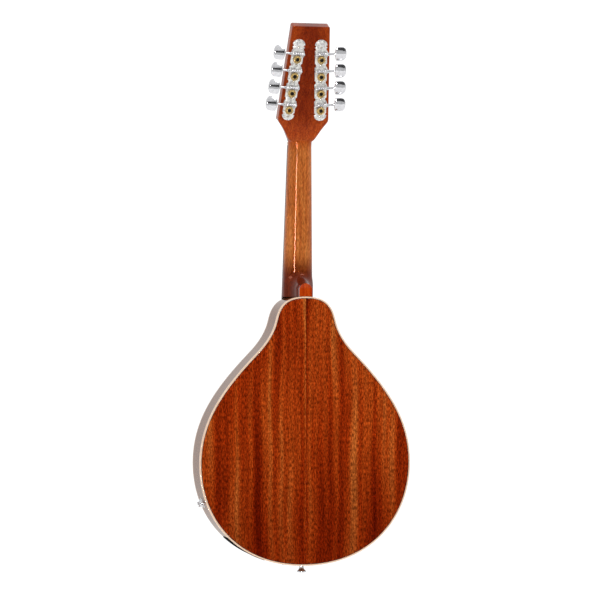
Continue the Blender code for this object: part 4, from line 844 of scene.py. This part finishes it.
plates = {side: plateFrame(side) for side in (-1, 1)}
for side, node, name in ((-1, "tuner_plate_bass", "tunerPlateBass"),
                         (1, "tuner_plate_treble", "tunerPlateTreble")):
    place = plates[side]
    right = plateEdge()
    line = [(0.0, -tuner["below"])] + right + [(0.0,
                                                3 * tuner["pitch"] + tuner["above"])] + mirrored(right)[::-1]
    bm = slab(line, plateUnder, plateFace, tuner["edge"], 2, "last")
    for row in range(4):
        for x in (-1, 1):
            join(bm, lugShape(x * (tuner["span"] - tuner["lug"]) / 2, row * tuner["pitch"] + tuner["centre"]))
        rail = [(x * mm, z * mm + row * tuner["pitch"]) for x,
                z in ((-8.2, 13.4), (8.2, 13.4), (8.2, 14.3), (-8.2, 14.3))]
        join(bm, slab(rail, plateFace - 0.2 * mm, plateFace + 1.0 * mm, 0.3 * mm, 2, "last"))
    for z, up in ((-tuner["below"] + 9.5 * mm, -1), (3 * tuner["pitch"] + tuner["above"] - 9.5 * mm, 1)):
        arcs = []                               # raised crescent on each end
        for k in range(13):
            a = math.radians(12 + 156 * k / 12)
            fat = 0.9 * mm * math.sin(math.radians(180 * k / 12)) + 0.15 * mm
            c, s = math.cos(a), math.sin(a) * up
            arcs.append([((6.2 * mm + d * fat) * c, plateFace + h * mm, z + (5.8 * mm + d * fat) * s)
                         for d, h in ((-1, -0.1), (-0.6, 0.45), (0.6, 0.45), (1, -0.1))])
        join(bm, sweep(arcs))
    finish(placed(bm, place), name, plateChrome, replaced=(node,), angle=30)
    heads = bmesh.new()
    for x, z in ((0, -11.5), (0, 18.9), (0, 47.6), (0, 76.3), (0, 106.0)):
        profile = [(-0.2 * mm, 2.2 * mm), (0.3 * mm, 2.2 * mm), (0.9 * mm, 1.7 * mm), (1.15 * mm, 0.9 * mm)]
        screw = turned(profile, 20, "Y")
        join(heads, placed(screw, Matrix.Translation((x * mm, plateFace, z * mm))))
    finish(placed(heads, place), name + "Screws", nickel)

for number in range(1, 9):
    side, row = (-1 if number < 5 else 1), (number - 1) % 4
    post = plates[side] @ Matrix.Translation((0, 0, row * tuner["pitch"]))
    name = "string_post_%d" % number
    finish(placed(gearSkin(), post), "gear%d" % number, brass, "post_%d" % number, (name,), 30)
    top = tuner["level"] + gear["wide"] / 2
    screw = turned([(top - 1.0 * mm, gear["screw"]), (top - 0.1 * mm, gear["screw"]),
                    (top + 0.5 * mm, gear["screw"] - 0.5 * mm), (top + 0.7 * mm, 1.9 * mm),
                    (top + 0.35 * mm, 1.7 * mm), (top + 0.35 * mm, 0.5 * mm)], 32, "Y")
    finish(placed(screw, post), "gearScrew%d" % number, darkSteel, "post_%d" % number)
    front = -head["veneer"] - tuner["proud"] - 0.3 * mm
    waist, r = tuner["post"] - 0.6 * mm, tuner["post"]
    shaft = turned([(front, r - 0.6 * mm), (front + 0.5 * mm, r), (front + 7.4 * mm, r),
                    (front + 8.4 * mm, waist), (front + 11.6 * mm, waist), (front + 12.6 * mm, r),
                    (tuner["level"] - 1.0 * mm, r)], 28, "Y")
    wind = bmesh.new()
    thick = (0.42, 0.42, 0.4, 0.3, 0.2, 0.2, 0.22, 0.22)[number - 1] * mm
    for k in range(3):
        rings = []
        for j in range(25):
            a, y = math.tau * j / 24, front + 8.9 * mm + (k + j / 24) * 2.1 * thick
            rings.append([((waist + thick * (0.9 + math.cos(b))) * math.cos(a), y + thick * math.sin(b),
                           (waist + thick * (0.9 + math.cos(b))) * math.sin(a))
                          for b in (math.tau * i / 8 for i in range(8))])
        join(wind, sweep(rings))
    finish(placed(shaft, post), "post%d" % number, chrome, "post_%d" % number)
    finish(placed(wind, post), "winding%d" % number, bronze if number < 3 else plainSteel,
           "post_%d" % number)
    collar = turned([(-head["veneer"] + 0.1 * mm, 5.2 * mm), (-head["veneer"] - 0.9 * mm, 5.0 * mm),
                     (-head["veneer"] - 1.3 * mm, 4.2 * mm), (-head["veneer"] - 1.3 * mm, 3.4 * mm),
                     (-head["veneer"] + 0.1 * mm, 3.4 * mm)], 32, "Y")
    finish(placed(collar, post), "collar%d" % number, chrome)
    outward, alongPlate = Vector((side, 0, 0)), Vector((0, 0, 1))
    axes = axesAt(alongPlate, outward.cross(alongPlate), outward, (0, tuner["level"], tuner["centre"]))
    finish(placed(join(keySkin(), buttonSkin()), post @ axes), "key%d" % number, keyChrome,
           "key_%d" % number, ("tuner_key_%d" % number,), 30)
print("tuners done")

# strings, nut, bridge and tailpiece
strings = {"radii": (0.58, 0.42, 0.44, 0.30, 0.24, 0.24, 0.18, 0.18), "pair": 2.6 * mm, "nutMargin": 4.4 * mm,
           "bridge": 56 * mm, "action": 2.0 * mm, "scale": 500 * mm}
bridge = {"long": 126 * mm, "wide": 12 * mm, "foot": 34 * mm, "saddle": 3.0 * mm, "edge": 0.8 * mm}
tail = {"long": 68 * mm, "half": 30 * mm, "sheet": 1.4 * mm, "edge": 0.5 * mm, "hook": 1.3 * mm}


def underString(u):
    return (board["thick"] + 0.3 * mm + board["crown"] + 0.4 * mm
            - (strings["action"] - 0.4 * mm) / (strings["scale"] / 2) * u)


places = []
for course in range(4):
    share = course / 3 - 0.5
    for member in (-0.5, 0.5):
        nutX = share * (neck["nut"] - 2 * strings["nutMargin"] - strings["pair"]) + member * strings["pair"]
        places.append((nutX, share * (strings["bridge"] - strings["pair"]) + member * strings["pair"] * 1.15))
saddleSpot = neckFrame @ Vector((0, -underString(-strings["scale"]), -strings["scale"]))
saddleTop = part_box("bridge_saddle")[0].y
tailTop = bodyBottom + tail["long"] + 1.0 * mm
for number, ((nutX, bridgeX), radius) in enumerate(zip(places, strings["radii"]), start=1):
    radius *= mm
    post = number if number <= 4 else 13 - number
    side, row = (-1 if post < 5 else 1), (post - 1) % 4
    lane = -side * (tuner["post"] - 0.6 * mm + radius + 0.3 * mm)
    end = plates[side] @ Vector((lane, -head["veneer"] - 0.3 * mm - tuner["proud"] + 10 * mm,
                                 row * tuner["pitch"]))
    nutY = -(board["thick"] + 0.3 * mm + board["crown"] + 0.4 * mm) - radius
    route = [Vector((bridgeX, frontFace - 12.5 * mm - radius, tailTop)),
             Vector((bridgeX, saddleTop - 0.3 * mm - radius, saddleSpot.z)),
             neckFrame @ Vector((nutX, nutY, -0.5 * mm)),
             neckFrame @ Vector((nutX, nutY + 0.1 * mm, 5.8 * mm)), end]
    rings = []
    for i, point in enumerate(route):
        way = (route[min(i + 1, 4)] - route[max(i - 1, 0)]).normalized()
        turn = way.to_track_quat("Z", "X").to_matrix()
        rings.append([point + turn @ Vector((radius * math.cos(math.tau * k / 12),
                                             radius * math.sin(math.tau * k / 12), 0)) for k in range(12)])
    finish(sweep(rings), "string%d" % number, bronze if number in (1, 3) else plainSteel,
           replaced=("string_%d" % number,), angle=60)

low = frontFace - 0.05 * mm
shoulder = saddleTop + 4.5 * mm
halfLong, crown, arch = bridge["long"] / 2, strings["bridge"] / 2 + 10 * mm, low - 4.5 * mm
side = [(halfLong, low), (halfLong, low - 3.4 * mm), (crown + 26 * mm, low - 4.6 * mm),
        (crown + 13 * mm, low - 7.0 * mm), (crown + 5 * mm, low - 8.6 * mm), (crown, shoulder)]
under = [(0, arch), (halfLong - bridge["foot"] - 8 * mm, arch),
         (halfLong - bridge["foot"] - 3 * mm, arch + 1.6 * mm), (halfLong - bridge["foot"], low)]
line = [(x, y) for x, y in under] + side
line += [(-x, y) for x, y in side[::-1]] + [(-x, y) for x, y in under[:0:-1]]
bm = sweep([[(x, y, saddleSpot.z + s * bridge["wide"] / 2) for x, y in line] for s in (-1, 1)])
bevelEdges(bm, endEdges(bm, len(line)), bridge["edge"], 3)
finish(bm, "bridgeWood", rosewood, replaced=("bridge",), angle=40)
saddleHalf = crown - 4.3 * mm
finish(block((-saddleHalf, saddleHalf), (saddleTop, shoulder + 2.7 * mm),
             (saddleSpot.z - bridge["saddle"] / 2, saddleSpot.z + bridge["saddle"] / 2), 0.45 * mm, 3),
             "saddle", bone, replaced=("bridge_saddle",))

over, foot = frontFace - 4.0 * mm, bodyBottom - 0.3 * mm
profile = [(over - 7 * mm, bodyBottom + tail["long"]), (over - 1.6 * mm, bodyBottom + 22 * mm),
           (over - 1.4 * mm, bodyBottom + 12 * mm), (over - 1.4 * mm, foot + 3.4 * mm),
           (over - 0.5 * mm, foot + 0.4 * mm), (over + 1.4 * mm, foot - 1.2 * mm),
           (over + 4 * mm, foot - 1.4 * mm), (frontFace + 20 * mm, foot - 1.4 * mm)]
insideLine = [(over - 5.6 * mm, bodyBottom + tail["long"]), (over - 0.2 * mm, bodyBottom + 22 * mm),
              (over, bodyBottom + 12 * mm), (over, foot + 3.9 * mm), (over + 0.8 * mm, foot + 1.2 * mm),
              (over + 2.2 * mm, foot + 0.2 * mm), (over + 4 * mm, foot), (frontFace + 20 * mm, foot)]
bm = sweep([[(s * tail["half"], y, z) for y, z in profile + insideLine[::-1]] for s in (-1, 1)])
bevelEdges(bm, endEdges(bm, 16), tail["edge"], 3)
for x in [bridgeX for _, bridgeX in places]:    # a hook for each string's loop
    hook = turned([(0.0, tail["hook"]), (2.4 * mm, tail["hook"]), (2.8 * mm, tail["hook"] + 0.4 * mm),
                   (3.3 * mm, tail["hook"] + 0.3 * mm), (3.6 * mm, 0.5 * mm)], 16, "Y")
    bmesh.ops.rotate(hook, verts=hook.verts, matrix=Matrix.Rotation(math.pi, 3, "X"))
    join(bm, placed(hook, Matrix.Translation((x, over - 5.6 * mm, bodyBottom + tail["long"] - 7 * mm))))
for x, z in ((-22, 14), (22, 14)):              # raised ribs along the sheet's sides
    rib = [(x * mm + dx * mm, (z + dz) * mm + bodyBottom) for dx,
           dz in ((-2, 0), (2, 0), (2, 40), (0, 42), (-2, 40))]
    made = slab(rib, over - 2.6 * mm, over - 1.0 * mm, 0.6 * mm, 3, "first")
    for vert in made.verts:
        vert.co.y -= max(vert.co.z - bodyBottom - 22 * mm, 0) * 0.118
    join(bm, made)
finish(bm, "tailpieceSheet", chrome, replaced=("tailpiece",), angle=32)
bm = bmesh.new()
for x in (-16, 0, 16):
    screw = turned([(0.0, 2.6 * mm), (0.6 * mm, 2.5 * mm), (1.3 * mm, 1.8 * mm), (1.6 * mm, 0.8 * mm)], 20,
                   "Z")
    bmesh.ops.rotate(screw, verts=screw.verts, matrix=Matrix.Rotation(math.pi, 3, "X"))
    join(bm, placed(screw, Matrix.Translation((x * mm, frontFace + 12 * mm, foot - 1.4 * mm))))
finish(bm, "tailpieceScrews", darkSteel)
print("front done")

# strap button, jack and battery box
knob = {"long": 13.6 * mm, "radius": 7.9 * mm}
r, n = knob["radius"], knob["long"]
profile = [(-n, r * 0.30), (-n, r * 0.62), (-n + 0.15 * mm, r - 0.9 * mm), (-n + 0.7 * mm, r - 0.15 * mm),
           (-n + 1.5 * mm, r), (-n + 2.4 * mm, r - 0.25 * mm), (-n + 3.4 * mm, r * 0.80),
           (-n + 5.2 * mm, r * 0.60), (-n + 8.0 * mm, r * 0.50), (-2.4 * mm, r * 0.49),
           (-0.9 * mm, r * 0.56), (0.2 * mm, r * 0.60)]
finish(placed(turned(profile, 48), Matrix.Translation((0, middleY, bodyBottom))), "strapKnob", chrome,
       replaced=("strap_button",))

curveLine = halfOutline()


def rimWay(x, z):
    # way along the treble rim at the place nearest to a point
    i = min(range(1, len(curveLine) - 1), key=lambda k: math.dist(curveLine[k], (x, z)))
    (xa, za), (xb, zb) = curveLine[i - 1], curveLine[i + 1]
    return Vector((xb - xa, 0, zb - za)).normalized()


jack = {"at": (165.05 * mm, -586.20 * mm), "washer": 8.9 * mm, "nut": 7.3 * mm, "tube": 4.7 * mm,
        "proud": 8.8 * mm, "bore": 3.2 * mm}
along = rimWay(*jack["at"])
out = Vector((-along.z, 0, along.x))
jackFrame = axesAt(along, out.cross(along), out, (jack["at"][0], middleY, jack["at"][1]))
base = turned([(-3 * mm, jack["washer"] - 1 * mm), (0.1 * mm, jack["washer"]), (0.9 * mm, jack["washer"]),
               (1.3 * mm, jack["washer"] - 0.5 * mm)], 40)
hexRings = [[(rad * math.cos(math.tau * k / 6), rad * math.sin(math.tau * k / 6), z * mm) for k in range(6)]
            for z, rad in ((1.2, jack["nut"]), (4.0, jack["nut"]), (4.3, jack["nut"] - 0.6 * mm))]
hexNut = sweep(hexRings)
bevelEdges(hexNut, hexNut.edges[:], 0.25 * mm, 2)
thread = [(4.3 * mm + 0.45 * mm * k, jack["tube"] - (0.25 * mm if k % 2 else 0)) for k in range(9)]
mouth = [(-0.4 * mm, jack["tube"]), (0.0, jack["tube"] - 0.3 * mm), (0.0, jack["bore"] + 0.2 * mm),
         (-0.3 * mm, jack["bore"]), (-5.0 * mm, jack["bore"])]
tube = turned([(4.0 * mm, jack["tube"])] + thread + [(jack["proud"] + z, radius) for z, radius in mouth], 36)
finish(placed(join(base, hexNut, tube), jackFrame), "jackBody", chrome, replaced=("output_jack",))
deep = turned([(jack["proud"] - 5.1 * mm, jack["bore"] - 0.1 * mm),
               (jack["proud"] - 4.6 * mm, jack["bore"] - 0.1 * mm), (jack["proud"] - 4.6 * mm, 1.2 * mm)], 24)
finish(placed(deep, jackFrame), "jackInside", blackPlastic)

boxOut = Vector((0.5128, 0, -0.8585))           # way out of the wood at the middle of the box
boxAlong = Vector((-0.8585, 0, -0.5128))
boxFrame = axesAt(boxAlong, boxOut.cross(boxAlong), boxOut, (98.93 * mm, middleY, -664.87 * mm))
cutAway(rims, placed(block((-30.2 * mm, 30.2 * mm), (-18.2 * mm, 18.2 * mm), (-30 * mm, 30 * mm)), boxFrame))


def softened(node, name, material, bodyName, size):
    # the CAD piece's own shape, its loose triangles joined and its edges rounded
    bm = bmesh.new()
    bm.from_mesh(frame["nodes"][node].data)
    bmesh.ops.remove_doubles(bm, verts=bm.verts, dist=0.02 * mm)
    bmesh.ops.dissolve_limit(bm, angle_limit=math.radians(0.8), verts=bm.verts, edges=bm.edges)
    piece = finish(bm, name, material, bodyName, (node,), 30)
    soft = piece.modifiers.new("softEdges", "BEVEL")
    soft.width, soft.segments, soft.limit_method, soft.angle_limit = size, 2, "ANGLE", math.radians(40)
    soft.use_clamp_overlap = True
    return piece


softened("battery_box", "batteryHolder", blackPlastic, root, 0.25 * mm)
softened("battery_door", "batteryLid", blackPlastic, "door", 0.2 * mm)
softened("battery", "batteryCan", batteryCase, root, 1.2 * mm)
softened("nut", "boneNut", bone, root, 0.2 * mm)

for names, material in ((("soundboard_brace_upper", "soundboard_brace_lower", "back_brace_upper",
                          "back_brace_lower", "top_lining_bass", "top_lining_treble", "back_lining_bass",
                          "back_lining_treble", "neck_block", "tail_block"), innerWood),
                          (("truss_rod",), darkSteel), (("pickup_disc",), brass)):
    for name in names:
        node = frame["nodes"][name]
        node.data.materials.clear()
        node.data.materials.append(material)
print("fittings done")

# studio: pale floor, soft white surroundings with one dark side, three lights
studio = {"white": 1.12, "fill": 0.62, "gloss": 0.9, "key": 34.0, "side": 16.0, "floor": -0.95, "box": 70.0,
          "boxAt": 0.27, "boxHalf": 0.045}
floorWhite = makePlain("mattPaper", ("#f5f5f5", "#f7f7f7"),
                       {"Roughness": 0.9, "Specular IOR Level": 0.1, "Emission Color": "#ffffff",
                        "Emission Strength": 0.22}, 40 * mm, 0.05, 0.0)
bm = bmesh.new()
bmesh.ops.create_grid(bm, x_segments=2, y_segments=2, size=1.3,
                      matrix=Matrix.Translation((0, 0, studio["floor"])))
mesh = bpy.data.meshes.new("floor")
bm.to_mesh(mesh)
bm.free()
mesh.materials.append(floorWhite)
floor = bpy.data.objects.new("floor", mesh)
bpy.context.scene.collection.objects.link(floor)

world = bpy.data.worlds.new("studio")
bpy.context.scene.world = world
world.use_nodes = True
background = world.node_tree.nodes["Background"]
add = partial(addNode, world.node_tree)
x, y, z = add("SeparateXYZ", (add("TexCoord").node.outputs["Generated"],)).node.outputs
# dark in front of the back, lighter to the sides, above and below, with one narrow soft box
ahead = add("MapRange", (y, 0.45, 0.80, 1.0, 0.0), interpolation_type="SMOOTHSTEP")
tilt = add("Math", (add("Math", (z, 0.14), operation="ADD"),), operation="ABSOLUTE")
beyond = add("MapRange", (tilt, 0.18, 0.25, 0.0, 0.9), interpolation_type="SMOOTHSTEP")
around = add("Math", (ahead, beyond), operation="MAXIMUM")
ratio = add("Math", (x, y), operation="DIVIDE")
off = add("Math", (ratio, studio["boxAt"]), operation="SUBTRACT")
near = add("Math", (off, 0.0, studio["boxHalf"]), operation="COMPARE")
below = add("Math", (z, -0.19, 0.145), operation="COMPARE")
strip = add("Math", (near, below), operation="MULTIPLY")
front = add("Math", (y, 0.2), operation="GREATER_THAN")
box = add("Math", (strip, front), operation="MULTIPLY")
level = add("MapRange", (z, -0.9, 0.6, 0.60, 1.0))
shaded = add("Math", (level, around), operation="MULTIPLY")
gloss = add("Math", (box, studio["box"], shaded), operation="MULTIPLY_ADD")
rays = add("LightPath").node.outputs
glossLevel = add("Math", (gloss, studio["gloss"]), operation="MULTIPLY")
soft = add("Mix", {0: rays["Is Glossy Ray"], 2: studio["fill"], 3: glossLevel}, data_type="FLOAT")
add("Mix", {0: rays["Is Camera Ray"], 2: soft, 3: studio["white"]}, to=background.inputs["Strength"],
    data_type="FLOAT")
background.inputs["Color"].default_value = (1, 1, 1, 1)

for name, spot, aim, size, watts in (("keyLight", (-1.6, 2.6, 1.7), (0, 0, -0.3), 1.2, studio["key"]),
                                     ("sideLight", (2.4, 1.4, 0.9), (0, 0, -0.3), 1.0, studio["side"]),
                                     ("frontLight", (-1.2, -2.8, 1.6), (0, 0, -0.3), 1.4, 10.0)):
    light = bpy.data.lights.new(name, "AREA")
    light.energy, light.size = watts, size
    lamp = bpy.data.objects.new(name, light)
    lamp.location = spot
    lamp.rotation_euler = (Vector(aim) - Vector(spot)).to_track_quat("-Z", "Y").to_euler()
    bpy.context.scene.collection.objects.link(lamp)

shot = {"turn": 13.3, "away": 4.0, "height": -0.2557, "aside": -0.0098, "angle": 13.963}
turn = math.radians(shot["turn"])
camera = bpy.data.objects.new("camera", bpy.data.cameras.new("camera"))
camera.data.sensor_fit = "HORIZONTAL"
camera.data.angle = math.radians(shot["angle"])
camera.data.clip_end = 50
toRight = Vector((-math.cos(turn), math.sin(turn), 0))
backward = Vector((math.sin(turn), math.cos(turn), 0))
camera.location = Vector((0, backFace, shot["height"])) + shot["away"] * backward + shot["aside"] * toRight
camera.rotation_euler = (math.pi / 2, 0, math.pi - turn)
bpy.context.scene.collection.objects.link(camera)
bpy.context.scene.camera = camera
bpy.context.scene.view_settings.view_transform = "Standard"
bpy.context.scene.view_settings.look = "None"
print("studio done")
